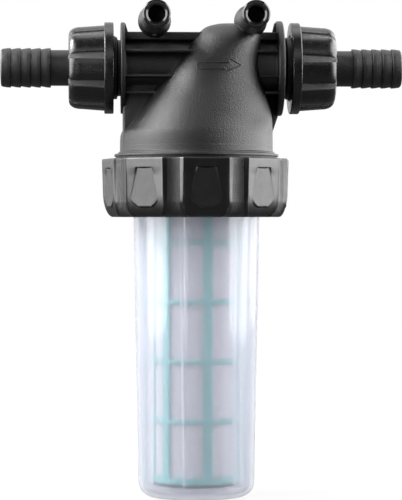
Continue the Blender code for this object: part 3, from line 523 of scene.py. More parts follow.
def ring_nut():
    """Nine lobes with a tapered grip pad each, on a body that rounds off into its lower end."""
    height = RING_TOP - RING_LOW
    edge_r, rounding, draft, lip_round = 62.9 * MM, 6.5 * MM, 0.7 * MM, 1.1 * MM
    bore_r, mouth_r, shelf_z = 55.0 * MM, 42.75 * MM, 5.0 * MM
    # half a lobe, the wall beside it and the place of the first lobe in degrees, and their number
    half0, wall_span, phase, lobes = 14.2, 2.1, 3.5, 9
    pitch = 360.0 / lobes
    flat_r = edge_r * math.cos(math.radians(half0))
    pad_top, pad_low = height - 6.2 * MM, height - 32.6 * MM
    # half widths of the pad at its top and below, in mm, and the share of its height where it is widest
    pad_narrow, pad_wide, widest = 6.1, 10.8, 0.72
    # heights over which the heel rounds off and the lobes narrow, and the level of the full draft
    heel, waist, drafted = 15.5 * MM, 11.0 * MM, 12.35 * MM
    heel_power, narrowing = 1.9, 4.6  # the heel's curve, and degrees off half a lobe
    # the bevelled wall of a groove: share of the way across, and of the way down
    wall_across = [0.0, 0.12, 0.3, 0.85, 0.93, 1.0]
    wall_down = [0.16, 0.27, 0.44, 0.94, 0.985, 1.0]
    zs = np.concatenate(
        [
            heel * (1 - np.sin(np.radians(np.linspace(90.0, 0.0, 34)))),
            np.linspace(heel + 0.3 * MM, pad_top - 1.2 * MM, 46),
            pad_top + np.array([-0.9, -0.7, -0.55, -0.4, -0.25, -0.12, 0.0, 0.12, 0.5]) * MM,
            np.linspace(pad_top + 1.0 * MM, height - 1.3 * MM, 6),
            height - lip_round * (1 - np.sin(np.radians([15, 35, 55, 75, 90]))),
        ]
    )
    rows, grains = [], []
    for z in zs:
        inset = rounding * (1 - (1 - max(0.0, 1 - z / heel) ** heel_power) ** 0.5)
        half = half0 - narrowing * (1 - math.sqrt(1 - max(0.0, 1 - z / waist) ** 2))
        foot = half + wall_span
        taper = draft * min(1.0, max(0.0, (height - z) / (height - drafted)))
        top = max(0.0, (z - (height - lip_round)) / lip_round)
        crown = 0.9 * MM * (1 - math.sqrt(max(0.0, 1 - top * top)))
        u = ring_sector(half, foot, pitch)
        away = np.abs(u)
        # each lobe is faintly dished between its raised long edges, except above the pad
        dish = 0.75 * MM * soft_step((pad_top + 1.0 * MM - z) / (7.0 * MM)) * min(1.0, z / heel)
        dish = dish * (1 - (np.minimum(away, half) / half) ** 2)
        rim = 0.2 * MM * np.exp(-(((half - 0.75 - away) / 0.42) ** 2))
        slant = np.cos(np.radians(np.minimum(away, half)))
        lobe = (flat_r - taper - inset - crown) / slant - dish + rim
        edge = edge_r - taper - inset - crown
        foot_r = min(edge_r - 1.85 * MM - 0.25 * taper - crown, edge - 0.8 * MM)
        blend = np.clip((away - half) / (foot - half), 0.0, 1.0)
        # a bevelled wall with a rounded edge, then a shallow concave floor
        wall = edge + (foot_r - edge) * np.interp(blend, wall_across, wall_down)
        lobe = lobe - 0.28 * MM * np.clip(1 - (half - away) / 0.65, 0, 1) ** 2
        flute = np.clip((pitch / 2 - away) / (pitch / 2 - foot), 0.0, 1.0)
        floor = foot_r - 0.75 * MM * (1 - flute**2)
        r = np.where(away < half, lobe, np.where(away < foot, wall, floor))
        # the tapered grip pad: let in at its top, flush below, and proud of the rounded heel
        across = np.abs(flat_r * np.tan(np.radians(u)))
        share = min(1.0, max(0.0, (pad_top - z) / (pad_top - pad_low)))
        bend = pad_wide * MM
        width = (pad_narrow + (pad_wide - pad_narrow) * min(1.0, share / widest)) * MM
        if z < pad_low + bend * widest:
            rise = max(0.0, (z - pad_low) / (bend * widest))
            width = bend * math.sqrt(max(0.0, 1 - (1 - rise) ** 2))
        soft = (1.1 - 0.5 * share) * MM
        inside = smooth((width - across) / soft + 0.5) * soft_step((pad_top - z) / (0.25 * MM) + 0.5)
        inside = inside * soft_step((z - pad_low) / (0.9 * MM)) * (away < half)
        plane = (flat_r - (0.95 - 0.3 * share) * MM - taper * 0.6) / slant
        shelf = 0.55 * MM * math.exp(-(((pad_top - 0.38 * MM - z) / (0.3 * MM)) ** 2))
        plane = plane - shelf * np.clip(1 - (across / (5.6 * MM)) ** 2, 0.0, 1.0)
        r = r + inside * (plane - r)
        grain = np.maximum(inside * 0.35, np.clip((blend - 0.95) / 0.05, 0.0, 1.0))
        angles = all_round(phase, lobes, u)
        radii = np.tile(r, lobes)
        rows.append(facing(angles) * radii[:, None] + np.array([0, 0, RING_LOW + z]))
        grains.append(np.tile(grain, lobes))
    inner = round_corners(
        [
            (edge_r - 4.5 * MM, height, 0.0),
            (bore_r, height, 0.5 * MM),
            (bore_r, shelf_z, 0.6 * MM),
            (mouth_r, shelf_z, 0.5 * MM),
            (mouth_r, 0.0, 0.5 * MM),
            (edge_r - rounding - 2.5 * MM, 0.0, 0.0),
        ],
        0.5 * MM,
        3,
    )
    for r, z in inner:
        rows.append(facing(angles) * r + np.array([0, 0, RING_LOW + z]))
        grains.append(np.full(len(angles), 0.4))
    nut = grid_mesh("ring_nut_fine", np.array(rows), True, 33.0, np.array(grains))
    low, high = RING_LOW + 9.0 * MM, RING_TOP - 3.5 * MM
    thread = helix("ring_nut_thread", bore_r, 0.5 * MM, BOWL_PITCH, low, high, False, 72)
    dress(thread, TAIL_BLACK, "ring", "nut_plastic")
    dress(nut, RING_BLACK, "ring", "nut_plastic", "bowl_ring_nut")


def union_nut(side, sense):
    """Nine smooth panels with grained bands between them. It is built along Z and laid on its port."""
    flange_r, flange = 30.3 * MM, 6.2 * MM
    body_r, neck_r, end_r, rounding, depth = 28.3 * MM, 27.2 * MM, 21.6 * MM, 8.6 * MM, 1.3 * MM
    thread_r, collar_r, hole_r = 22.0 * MM, 21.9 * MM, 12.35 * MM
    nose = 2.25  # the curve of the outer end
    phase, lobes = {"left": 34.3, "right": 9.9}[side], 9
    pitch = 360.0 / lobes
    body_start, body_stop = NUT_START + flange + 0.1 * MM, NUT_END - rounding
    rows, grains = [], []
    zs = list(np.linspace(body_start, body_stop, 22))
    zs += [body_stop + rounding * math.sin(math.radians(t)) for t in np.linspace(6, 90, 15)]
    count = (5, 7, 20)
    # the plain rings have the same number of points as the panels
    plain = all_round(phase, lobes, sector_angles(15.0, 16.8, pitch, count))
    for r, z in round_corners(
        [
            (thread_r + 6.0 * MM, NUT_START, 0.0),
            (flange_r, NUT_START, 0.7 * MM),
            (flange_r, NUT_START + flange, 0.9 * MM),
            (body_r - 0.4 * MM, NUT_START + flange, 0.0),
        ],
        0.7 * MM,
        4,
    ):
        rows.append(facing(plain) * r + np.array([0, 0, z]))
        grains.append(np.zeros(len(plain)))
    for z in zs:
        along = (z - body_start) / (NUT_END - body_start)
        turn = max(0.0, (z - body_stop) / rounding)
        inset = 1 - max(0.0, 1 - turn**nose) ** (1 / nose)
        share = min(1.0, (z - body_start) / (body_stop - body_start))
        face = body_r + (neck_r - body_r) * share - (neck_r - end_r) * inset
        half = 13.9 + 1.5 * along
        foot = half + 1.6
        u = sector_angles(half, foot, pitch, count)
        away = np.abs(u)
        bulge = face - 0.35 * MM * (np.minimum(away, half) / half) ** 4
        floor = max(face - depth, end_r - depth / 2)
        # the band rises to meet the panels at the outer end
        floor = floor + (face - 0.1 * MM - floor) * soft_step((turn - 0.55) / 0.45)
        blend = smooth((away - half) / (foot - half))
        r = bulge + (floor - bulge) * blend
        angles = all_round(phase, lobes, u)
        rows.append(facing(angles) * np.tile(r, lobes)[:, None] + np.array([0, 0, z]))
        grains.append(np.tile(smooth((away - half) / (foot - half) * 1.2 - 0.2), lobes))
    for r, z in round_corners(
        [
            (end_r - 0.6 * MM, NUT_END, 0.0),
            (hole_r, NUT_END, 0.7 * MM),
            (hole_r, TAIL_START + 3.6 * MM, 0.3 * MM),
            (collar_r, TAIL_START + 3.6 * MM, 0.4 * MM),
            (collar_r, NUT_START, 0.9 * MM),
            (thread_r + 5.0 * MM, NUT_START, 0.0),
        ],
        0.5 * MM,
        3,
    ):
        rows.append(facing(plain) * r + np.array([0, 0, z]))
        grains.append(np.zeros(len(plain)))
    nut = grid_mesh(side + "_union_fine", np.array(rows), True, 42.0, np.array(grains))
    on_port(nut, sense)
    dress(nut, NUT_BLACK, side + "_nut", "nut_plastic", side + "_union_nut")


def hose_tail(side, sense):
    """Five barbs, a plain length and a collar. It is built along Z and laid on its port."""
    barbs, barb_pitch = 5, 6.6  # the pitch in mm
    bore_r, neck_r, collar_r, collar = 9.5 * MM, 11.85 * MM, 20.4 * MM, 3.3 * MM
    start = TAIL_END - barbs * barb_pitch * MM
    profile = [
        (bore_r, TAIL_START, 0.3 * MM),
        (collar_r, TAIL_START, 0.4 * MM),
        (collar_r, TAIL_START + collar, 0.4 * MM),
        (neck_r, TAIL_START + collar, 0.2 * MM),
        (neck_r, start, 0.15 * MM),
    ]
    for barb in range(barbs):
        low = start + barb * barb_pitch * MM
        profile.append((13.12 * MM, low + 0.12 * MM, 0.5 * MM))
        profile.append((12.98 * MM, low + 2.4 * MM, 2.0 * MM))
        if barb == barbs - 1:
            profile.append((12.5 * MM, TAIL_END - 0.9 * MM, 0.8 * MM))
        else:
            profile.append((12.32 * MM, low + 6.35 * MM, 0.3 * MM))
            profile.append((12.2 * MM, low + barb_pitch * MM, 0.05 * MM))
    profile += [(11.6 * MM, TAIL_END, 0.5 * MM), (bore_r, TAIL_END, 0.5 * MM)]
    tail = revolve(side + "_tail_fine", round_corners(profile, 0.3 * MM, 4, True), 112, True)
    # parting line of the mould, a hair proud of the plain length
    low, high = TAIL_START + 6 * MM, start - 0.4 * MM
    seam = [
        box("seam", (-0.12 * MM, r * MM, low), (0.12 * MM, (r + 0.06) * MM, high), 0)
        for r in (11.82, -11.88)
    ]
    tail = join(side + "_tail_fine", [tail, *seam])
    tail.data.shade_smooth()
    tail.data.set_sharp_from_angle(angle=math.radians(40))
    on_port(tail, sense)
    dress(tail, TAIL_BLACK, side + "_tail", "nut_plastic", side + "_hose_tail")


def bowl():
    """The bowl with its flange, inner ribs and cartridge seat. Its vertex layer says how milky it is, and
    it paints highlight lines along the rib edges.
    """
    # these sizes and the profile are in mm
    base_r, heel_r, heel_z, neck_r, wall, floor = 30.3, 38.8, 10.0, 41.95, 2.8, 3.0
    flange_r, flange, collar_r, collar_in, collar = 53.5, 5.0, 46.8, 43.8, 12.7
    skirt_r, skirt_top, seat_r, seat_in, seat_top = 28.4, 7.4, 24.0, 20.7, 14.7
    slope = (neck_r - heel_r) / (RING_LOW / MM - heel_z)
    lift = 5.3
    top_r = neck_r + slope * lift
    low_flange = RING_LOW / MM + lift
    heel_run = heel_r - base_r
    outer = [(base_r, 0.0, 0)]
    for k in range(1, 13):
        t = math.radians(90.0 * k / 12)
        outer.append((base_r + heel_run * math.sin(t) ** 0.92, heel_z * (1 - math.cos(t)), 0))
    heights = np.linspace(heel_z + 6, low_flange - 1.0, 16)
    outer += [(heel_r + slope * (z - heel_z), z, 0) for z in heights]
    outer += [
        (top_r, low_flange, 0.4),
        (flange_r, low_flange, 0.4),
        (flange_r, low_flange + flange, 0.4),
        (collar_r, low_flange + flange, 0.3),
        (collar_r, low_flange + collar, 0.5),
        (collar_in, low_flange + collar, 0.5),
        (collar_in, low_flange + flange, 0.8),
        (top_r - wall, RING_LOW / MM + 5.0, 0.6),
    ]
    heights = np.linspace(RING_LOW / MM, heel_z + 1.0, 40)
    walls = [(heel_r - wall + slope * (z - heel_z), z, 0) for z in heights]
    foot = [
        (heel_r - wall, heel_z, 0),
        (heel_r - wall - 0.5, heel_z - 3.0, 0),
        (heel_r - wall - 0.12 * heel_run, heel_z - 5.0, 0),
        (heel_r - wall - 0.35 * heel_run, floor, 0.8),
        (skirt_r, floor, 0.4),
        (skirt_r, skirt_top, 0.4),
        (seat_r, skirt_top, 0.3),
        (seat_r, seat_top, 0.5),
        (seat_in, seat_top, 0.5),
        (seat_in, floor, 0.4),
        (0.3, floor, 0),
    ]
    profile = [(p[0] * MM, p[1] * MM, p[2] * MM) for p in outer + walls + foot]
    points = round_corners(profile, 0.3 * MM, 3)
    ribs, first_rib = 6, -15.0
    pitch = 360.0 / ribs
    rib_narrow, rib_wide = 2.3, 6.2  # widths in mm at the lower and the upper end
    rib_flat = 0.62  # share of the width that is flat
    rows, milk_and_glints = [], []
    rib_top, rib_low = RING_LOW, heel_z * MM - 3.5 * MM
    for r, z in points:
        share = np.clip((z - rib_low) / (rib_top - rib_low), 0, 1)
        width = (rib_narrow + (rib_wide - rib_narrow) * share) * MM
        half = math.degrees(width / 2 / (37.0 * MM))
        u = sector_angles(half * rib_flat, half, pitch, (12, 4, 3))
        away = np.abs(u)
        # the ribs stand on the inner wall alone
        on_wall = r < 42.0 * MM and r > 31.0 * MM and floor * MM + 0.1 * MM < z < RING_LOW + 4.0 * MM
        on_wall = on_wall and r < (heel_r + slope * (z / MM - heel_z) - 1.5) * MM
        radii = np.full(len(u), r)
        milk = np.zeros(len(u))
        if on_wall:
            tall = 3.2 * MM * smooth((z - rib_low) / (5 * MM))
            tall = tall * smooth((RING_LOW + 1.0 * MM - z) / (3 * MM))
            rib = 1 - smooth((away - half * rib_flat) / (half * 0.38))
            radii = r - tall * rib
            # painted highlights: the rounded edges of a rib are made milkier and paler, so that they show
            # as two pale lines
            edge = np.exp(-(((away / half - 0.8) / 0.13) ** 2))
            milk = np.maximum(0.35 * rib, edge) * min(1.0, tall / (1.5 * MM))
        milk_and_glints.append(np.tile(milk, ribs))
        angles = all_round(first_rib, ribs, u)
        rows.append(facing(angles) * np.tile(radii, ribs)[:, None] + np.array([0, 0, z]))
    made = grid_mesh("bowl_fine", np.array(rows), False, 35.0, np.array(milk_and_glints))
    dress(made, BOWL_MILKY, "bowl", "bowl_plastic", "bowl")


def cartridge():
    """The green cage and the filter cloth inside it."""
    low, high = extent("cartridge_frame", 2)
    outer, inner, end_in = 29.0 * MM, 27.0 * MM, 24.3 * MM
    ribs, first_rib, sections = 6, 13.0, 5
    parts = []

    def band(bottom, top, inside):
        profile = [(inside, bottom), (outer, bottom), (outer, top), (inside, top)]
        parts.append(revolve("band", round_corners(profile, 0.45 * MM, 3, True), 96, True))

    band(low, low + 4.0 * MM, end_in)
    band(high - 5.0 * MM, high, end_in)
    section = (high - low - 4.5 * MM) / sections
    for i in range(1, sections):
        middle = low + 2.0 * MM + i * section
        band(middle - 1.4 * MM, middle + 1.4 * MM, inner)
    heights = np.linspace(low + 1.5 * MM, high - 1.5 * MM, 12)
    for i in range(ribs):
        phi = first_rib + 360.0 / ribs * i
        half = math.degrees(2.6 * MM / outer)
        angles = np.linspace(phi - half, phi + half, 7)
        ring = np.concatenate([facing(angles) * (outer - 0.03 * MM), facing(angles[::-1]) * inner])
        rows = np.array([ring + np.array([0, 0, z]) for z in heights])
        parts.append(grid_mesh("rib", rows, False, 40.0))
    cage = join("cartridge_cage_fine", parts)
    dress(cage, CAGE_GREEN, "bowl", "cage_plastic", "cartridge_frame")
    mesh_low, mesh_high = extent("cartridge_mesh", 2)
    around = 144
    cloth_out, cloth_in = 26.7, 26.2  # in mm
    angles = np.arange(around) * 360.0 / around
    heights = np.linspace(mesh_low, mesh_high, 30)
    rows = [facing(angles) * cloth_out * MM + np.array([0, 0, z]) for z in heights]
    rows += [facing(angles) * cloth_in * MM + np.array([0, 0, z]) for z in heights[::-1]]
    cloth = grid_mesh("filter_cloth_fine", np.array(rows), True, 40.0)
    # the cloth unrolled, in metres, for its weave
    uv = cloth.data.uv_layers.new(name="flat")
    for loop in cloth.data.loops:
        co = cloth.data.vertices[loop.vertex_index].co
        uv.data[loop.index].uv = (math.atan2(co.y, co.x) * 26.5 * MM, co.z)
    dress(cloth, CLOTH, "bowl", "cloth", "cartridge_mesh")


NECK_R = 50.9 * MM
SKIRT_R = 53.7 * MM
SKIRT_LOW = 198.7 * MM
COLLAR_Z = RING_TOP + 1.6 * MM
DOME_TOP = 313.9 * MM
PORT_THREAD_R, PORT_BORE_R = 20.6, 15.5  # in mm
BOSS_X = 31.7 * MM
BOSS_Z = 314.7 * MM
# the dome in mm: height, left edge, right edge, depth
STATIONS = np.array(
    [
        (COLLAR_Z / MM + 3.0, -50.9, 50.9, 50.9),
        (240.0, -50.4, 50.8, 50.5),
        (245.5, -47.0, 50.7, 49.3),
        (254.0, -41.0, 50.0, 46.5),
        (264.0, -34.2, 47.0, 42.8),
        (274.0, -26.7, 43.5, 38.8),
        (284.4, -18.6, 41.7, 35.4),
        (295.0, -9.6, 42.2, 32.0),
        (303.0, -2.8, 43.6, 28.0),
        (308.5, 2.2, 43.6, 22.5),
        (311.9, 6.8, 41.5, 16.0),
        (DOME_TOP / MM, 14.0, 35.0, 7.0),
    ]
)


def spline(stations, steps):
    """Catmull-Rom through the stations, as many rows as asked between each two."""
    padded = np.vstack([2 * stations[0] - stations[1], stations, 2 * stations[-1] - stations[-2]])
    out = []
    for i in range(1, len(padded) - 2):
        p0, p1, p2, p3 = padded[i - 1 : i + 3]
        for t in np.arange(steps) / steps:
            out.append(
                0.5
                * (
                    (2 * p1)
                    + (p2 - p0) * t
                    + (2 * p0 - 5 * p1 + 4 * p2 - p3) * t**2
                    + (3 * p1 - p0 - 3 * p2 + p3) * t**3
                )
            )
    out.append(stations[-1])
    return np.array(out)


DOME_LEVELS = spline(STATIONS, 7)


def dome_section(z):
    """The dome at a height, all in mm.

    Its middle, half width and depth, how square its left side is and how full its right side.
    """
    left, right, deep = (float(np.interp(z, DOME_LEVELS[:, 0], DOME_LEVELS[:, k])) for k in (1, 2, 3))
    square = 1 - 0.14 * soft_step((z - 238) / 26)
    full = soft_step((z - 241) / 22) * soft_step((313 - z) / 16)
    return (left + right) / 2, (right - left) / 2, deep, square, full


def right_reach(c, full):
    """How far the dome's right side reaches at the cosine c of its turn, as a share of the half width.

    It keeps the wide curve of the front up to a rounded corner, then goes straight back.
    """
    c = np.maximum(np.abs(c), 0.01)
    return c + full * ((1 + (1.18 * c) ** -12.0) ** (-1 / 12) - c)


def dome_front(x, z):
    """The y of the dome's front at a point, all in metres."""
    middle, half, deep, square, full = dome_section(z / MM)
    share = min(abs(x / MM - middle) / half, 0.99)
    if x / MM < middle:
        return -deep * MM * (1 - share ** (2 / square)) ** (square / 2)
    levels = np.linspace(0.0, 1.0, 400)
    c = float(np.interp(share, right_reach(levels, full), levels))
    return -deep * MM * math.sqrt(1 - c * c)


def dome():
    """The sloped dome, with the outlet's bore cut into it."""
    around = 176
    turns = (np.arange(around) + 0.5) * 2 * math.pi / around
    c, s = np.cos(turns), np.sin(turns)
    rows = []
    for z in DOME_LEVELS[:, 0]:
        middle, half, deep, square, full = dome_section(z)
        left = c < 0
        x = middle + half * np.where(left, -np.abs(c) ** square, right_reach(c, full))
        y = deep * np.sign(s) * np.where(left, np.abs(s) ** square, np.abs(s))
        rows.append(np.stack([x, y, np.full(around, z)], -1) * MM)
    made = grid_mesh("dome", np.array(rows), False, 60.0)
    bore = revolve("bore", [(PORT_BORE_R * MM, 0.0), (PORT_BORE_R * MM, 60 * MM)], 64)
    return cut(made, place(bore, (1, 0, 0), (12 * MM, 0, PORT_Z)))


def collar():
    """The skirt and collar under the dome, and the cartridge's seat inside them."""
    cove = COLLAR_Z + 1.9 * MM
    neck = [
        (52.9 * MM, SKIRT_LOW, 0.2 * MM),
        (SKIRT_R, 199.5 * MM, 0.2 * MM),
        (SKIRT_R, COLLAR_Z, 0.2 * MM),
        (54.6 * MM, COLLAR_Z, 0.25 * MM),
        (54.6 * MM, cove - 0.3 * MM, 0.4 * MM),
        (52.4 * MM, cove, 0.2 * MM),
        (51.9 * MM, cove + 0.9 * MM, 0.3 * MM),
        (NECK_R, cove + 1.6 * MM, 0.4 * MM),
        (NECK_R, cove + 5.0 * MM, 0),
        (47.2 * MM, cove + 5.0 * MM, 0),
        (47.3 * MM, SKIRT_LOW, 0.2 * MM),
    ]
    seat = [(20.7, 203.7), (24.0, 203.7), (24.0, 213.0), (30.0, 213.0), (30.0, 240.0), (20.7, 240.0)]
    return [
        revolve("neck", round_corners(neck, 0.3 * MM, 3, True), 192, True, 50.0),
        revolve("seat", [(r * MM, z * MM) for r, z in seat], 96, True),
    ]


def port_tube():
    """The ports, their flanges and the tube between them, with its ribs, top plate, duct and gussets."""
    # radius, distance along the port axis and rounding, in mm
    line = [
        (PORT_BORE_R, -77.0, 0.4),
        (19.7, -77.0, 0.3),
        (PORT_THREAD_R, -76.1, 0.3),
        (PORT_THREAD_R, -56.4, 0.3),
        (18.6, -55.8, 0.3),
        (18.6, -53.9, 0.3),
        (30.3, -53.9, 0.55),
        (30.3, -51.1, 0.55),
        (20.0, -51.1, 1.2),
        (20.0, 49.3, 1.2),
        (31.5, 49.3, 1.0),
        (31.5, 53.5, 1.0),
        (18.6, 53.5, 0.3),
        (18.6, 55.4, 0.3),
        (PORT_THREAD_R, 56.0, 0.3),
        (PORT_THREAD_R, 76.1, 0.3),
        (19.7, 77.0, 0.3),
        (PORT_BORE_R, 77.0, 0.4),
    ]
    line = round_corners([tuple(v * MM for v in p) for p in line], 0.3 * MM, 4, True)
    tube = revolve("tube", line, 128, True, 50.0)
    parts = [place(tube, (1, 0, 0), (PORT_X, 0, PORT_Z))]
    left, right = PORT_X - 52.9 * MM, PORT_X + 51.5 * MM
    rib_r, rib_half = 27.5, 0.9 * MM
    for rise in (9.9, -6.5, -17.2):
        reach = math.sqrt(rib_r**2 - rise**2) * MM
        low, high = PORT_Z + rise * MM - rib_half, PORT_Z + rise * MM + rib_half
        # the right half stays behind the dome's front
        near = min(reach, 20.8 * MM)
        parts.append(box("rib", (left, -reach, low), (20 * MM, reach, high), 0.5 * MM))
        parts.append(box("rib", (10 * MM, -near, low), (right, reach, high), 0.5 * MM))
    plate_top = PORT_Z + 23.2 * MM
    low, high = (left, -13 * MM, PORT_Z + 17.8 * MM), (right, 13 * MM, plate_top)
    parts.append(box("top", low, high, 0.8 * MM, 4))
    low, high = (-49 * MM, -16 * MM, COLLAR_Z + 5 * MM), (-24 * MM, 16 * MM, PORT_Z)
    parts.append(box("duct", low, high, 1.6 * MM, 4))
    left_in, right_in = PORT_X - 51.1 * MM, PORT_X + 49.3 * MM
    gussets = [
        [
            (left_in - 1 * MM, PORT_Z + 29.8 * MM),
            (left_in - 1 * MM, plate_top - 1 * MM),
            (left_in + 2.6 * MM, plate_top - 1 * MM),
            (left_in + 0.4 * MM, PORT_Z + 29.8 * MM),
        ],
        [
            (right_in + 1 * MM, PORT_Z + 30.3 * MM),
            (right_in + 1 * MM, plate_top - 1 * MM),
            (right_in - 4.2 * MM, plate_top - 1 * MM),
            (right_in - 2.2 * MM, plate_top + 1 * MM),
            (right_in - 0.9 * MM, PORT_Z + 30.3 * MM),
        ],
        [
            (right_in + 2.4 * MM, PORT_Z - 29.3 * MM),
            (right_in + 2.4 * MM, PORT_Z - 18.6 * MM),
            (right_in - 17 * MM, PORT_Z - 18.6 * MM),
            (right_in - 17 * MM, 241 * MM),
            (NECK_R - 0.4 * MM, 241 * MM),
        ],
    ]
    return parts + [plate("gusset", outline, 3.6 * MM) for outline in gussets]


def bosses():
    """The two mounting bosses, and the glossy chamfers round their bores and outer edges."""
    parts, rims = [], []
    for x in (PORT_X - BOSS_X, PORT_X + BOSS_X):
        # radius, distance towards the camera and rounding, in mm
        boss = [
            (5.5, 46.0, 0),
            (5.5, 64.5, 0.1),
            (6.7, 65.5, 0.1),
            (8.6, 65.4, 0.9),
            (9.0, 18.0, 3.0),
            (11.0, 12.6, 0.5),
            (9.0, 10.0, 0.5),
            (9.0, -15.0, 0.8),
            (0.4, -15.0, 0),
            (0.4, 46.0, 0),
        ]
        boss = round_corners([tuple(v * MM for v in p) for p in boss], 0.3 * MM, 5, True)
        turned = revolve("boss", boss, 80, True, 50.0)
        parts.append(place(turned, (0, -1, 0), (x, 0, BOSS_Z)))
        low, high = (x - 1.2 * MM, -20 * MM, 304.1 * MM), (x + 1.2 * MM, -12 * MM, 314 * MM)
        parts.append(box("rib", low, high))
        for rim in (
            [(5.62, 64.72), (6.75, 65.62), (6.95, 65.3), (5.62, 64.3)],
            [(8.98, 65.0), (8.6, 64.7), (7.95, 65.4), (8.15, 65.72)],
        ):
            turned = revolve("boss_rim", [(r * MM, z * MM) for r, z in rim], 72, True)
            rims.append(place(turned, (0, -1, 0), (x, 0, BOSS_Z)))
    return parts, rims


def head():
    parts = [dome(), *collar(), *port_tube()]
    boss_parts, rims = bosses()
    made = join("head_fine", parts + boss_parts)
    dress(made, HEAD_BLACK, "head", "head_plastic", "filter_head")
    rim = join("boss_rims", rims)
    rim.data.shade_smooth()
    dress(rim, RIM_BLACK, "head", "head_plastic")
    skirt = helix("skirt_thread", SKIRT_R, 0.55 * MM, BOWL_PITCH, 202.5 * MM, COLLAR_Z - 2.5 * MM)
    dress(skirt, TAIL_BLACK, "head", "head_plastic")
    radius, low, high = PORT_THREAD_R * MM, 57.6 * MM, 75.6 * MM
    for side, sense in SIDES:
        thread = helix(side + "_port_thread", radius, 0.75 * MM, PORT_PITCH, low, high, around=64)
        on_port(thread, sense)
        dress(thread, TAIL_BLACK, "head", "head_plastic")


def flow_arrow():
    """The plain outline arrow that is moulded on the dome's front."""
    outline = [
        (-1.0, 281.8),
        (17.6, 281.8),
        (17.6, 280.2),
        (23.4, 282.6),
        (28.4, 284.4),
        (20.0, 288.8),
        (19.6, 286.0),
        (-1.0, 286.0),
    ]
    steps = 12
    corners = [Vector((x * MM, 0, z * MM)) for x, z in outline]
    curve = bpy.data.curves.new("flow_arrow", "CURVE")
    curve.dimensions = "3D"
    line = curve.splines.new("POLY")
    points = []
    for a, b in zip(corners, corners[1:] + corners[:1]):
        for k in range(steps):
            p = a.lerp(b, k / steps)
            points.append((p.x, dome_front(p.x, p.z), p.z))
    line.points.add(len(points) - 1)
    for point, co in zip(line.points, points):
        point.co = (*co, 1)
    line.use_cyclic_u = True
    curve.bevel_depth = 0.42 * MM
    curve.bevel_resolution = 2
    made = add_object("flow_arrow", curve)
    mesh = applied(made)
    bpy.data.objects.remove(made)
    arrow = add_object("flow_arrow", mesh)
    mesh.shade_smooth()
    dress(arrow, RING_BLACK, "head", "head_plastic")


ring_nut()
for side, sense in SIDES:
    union_nut(side, sense)
    hose_tail(side, sense)
bowl()
cartridge()
head()
flow_arrow()
# the seals show as the CAD made them, and every other node has a piece in its place
for name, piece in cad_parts.items():
    piece.data.materials.clear()
    piece.data.materials.append(RUBBER if "seal" in name else HEAD_BLACK)
    piece.data.shade_smooth()
    piece.data.set_sharp_from_angle(angle=math.radians(35))


# name, place, the point it faces, width, height, watts
LAMPS = (
    ("left_box", (-1.05, -0.16, 0.62), (0, 0, 0.25), 1.05, 1.4, 42.0),
    ("left_high", (-1.05, 0.15, 1.17), (0, 0, 0.28), 0.5, 0.42, 24.0),
    ("left_back", (-0.85, 0.8, 0.55), (0, 0, 0.25), 0.5, 1.2, 3.0),
    ("right_back", (0.9, 0.7, 0.6), (0, 0, 0.25), 0.6, 1.2, 11.0),
    ("right_box", (1.05, -0.14, 0.6), (0, 0, 0.28), 1.0, 1.45, 41.0),
    ("strip", (-0.45, -1.0, 0.35), (0, 0, 0.2), 0.032, 1.3, 2.4),
    ("fill", (0.1, -1.25, 1.15), (0, 0, 0.12), 1.0, 0.6, 2.6),
    ("top_box", (0.0, 0.25, 1.3), (0, 0, 0.2), 0.8, 0.5, 3.0),
)
FLOOR_HALF, FLOOR_DROP = 12.0, 0.2 * MM
LENS_MM = 151.2
CAMERA_AT = (-0.0653, -1.3985, 0.1889)
CAMERA_DOWN, CAMERA_TURN = 1.04, -2.8  # degrees


def area(name, at, towards, width, height, power):
    lamp = bpy.data.lights.new(name, "AREA")
    lamp.shape = "RECTANGLE"
    lamp.size, lamp.size_y, lamp.energy = width, height, power
    made = add_object(name, lamp)
    made.location = at
    made.visible_transmission = False
    made.rotation_euler = (Vector(towards) - Vector(at)).to_track_quat("-Z", "Y").to_euler()


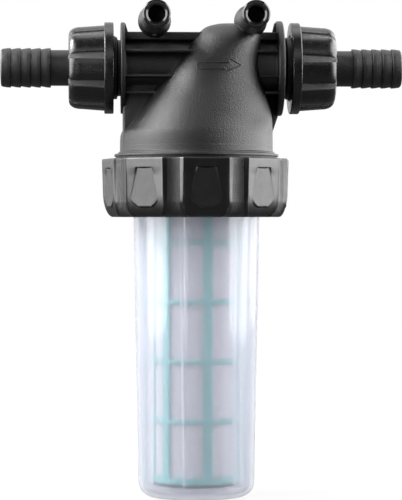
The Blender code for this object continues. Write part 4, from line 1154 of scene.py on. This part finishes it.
def stage():
    """A pale floor that shows white to the camera and keeps the object's shadow."""
    bm = bmesh.new()
    bmesh.ops.create_grid(bm, x_segments=1, y_segments=1, size=FLOOR_HALF)
    mesh = bpy.data.meshes.new("floor")
    bm.to_mesh(mesh)
    bm.free()
    floor = add_object("floor", mesh)
    floor.location.z = -FLOOR_DROP
    made, tree = new_material("floor_white")
    path = node(tree, "ShaderNodeLightPath").outputs
    # painted shade: the floor's glow is a little darker round the object, so that its real cast shadow
    # reads on the white
    away = node(tree, "ShaderNodeVectorMath", {0: object_space(tree)}, operation="LENGTH")
    shade_dimmed_glow = ramp(tree, away.outputs["Value"], 0.15, 1.0, 0.86, 1.0)
    shown = maths(tree, "MAXIMUM", path["Is Camera Ray"], path["Is Transmission Ray"])
    strength = maths(tree, "MULTIPLY", shown, shade_dimmed_glow)
    glow = node(tree, "ShaderNodeEmission", {"Color": (1, 1, 1, 1), "Strength": strength})
    diffuse = node(tree, "ShaderNodeBsdfDiffuse", {"Color": (0.07, 0.07, 0.07, 1)})
    show(tree, node(tree, "ShaderNodeAddShader", {0: diffuse.outputs[0], 1: glow.outputs[0]}))
    mesh.materials.append(made)


def studio():
    """A world that is white to the camera and behind the object, and dim as a light, and the lamps."""
    world = bpy.data.worlds.new("studio")
    bpy.context.scene.world = world
    world.use_nodes = True
    tree = world.node_tree
    tree.nodes.clear()
    path = node(tree, "ShaderNodeLightPath").outputs
    # the white backdrop stands behind the object; the room in front of it is dark
    towards = node(tree, "ShaderNodeTexCoord").outputs["Generated"]
    ahead = node(tree, "ShaderNodeSeparateXYZ", {0: towards}).outputs[1]
    indirect = maths(tree, "MAXIMUM", path["Is Glossy Ray"], path["Is Transmission Ray"])
    indirect = maths(tree, "MULTIPLY", indirect, ramp(tree, ahead, 0.1, 0.55))
    white = maths(tree, "MAXIMUM", path["Is Camera Ray"], indirect)
    lit = node(tree, "ShaderNodeBackground", {"Color": (0.95, 0.97, 1, 1), "Strength": 0.07})
    seen = node(tree, "ShaderNodeBackground", {"Color": (1, 1, 1, 1), "Strength": 1.0})
    mixed = mix_shaders(tree, white, lit, seen)
    node(tree, "ShaderNodeOutputWorld", {0: mixed.outputs[0]})
    for lamp in LAMPS:
        area(*lamp)


def camera():
    data = bpy.data.cameras.new("camera")
    data.sensor_width = 36.0
    data.lens = LENS_MM
    data.clip_start = 0.01
    data.clip_end = 100.0
    made = add_object("camera", data)
    made.location = CAMERA_AT
    made.rotation_euler = (math.radians(90 - CAMERA_DOWN), 0, math.radians(CAMERA_TURN))
    bpy.context.scene.camera = made


stage()
studio()
camera()
bpy.context.scene.view_settings.view_transform = "Standard"
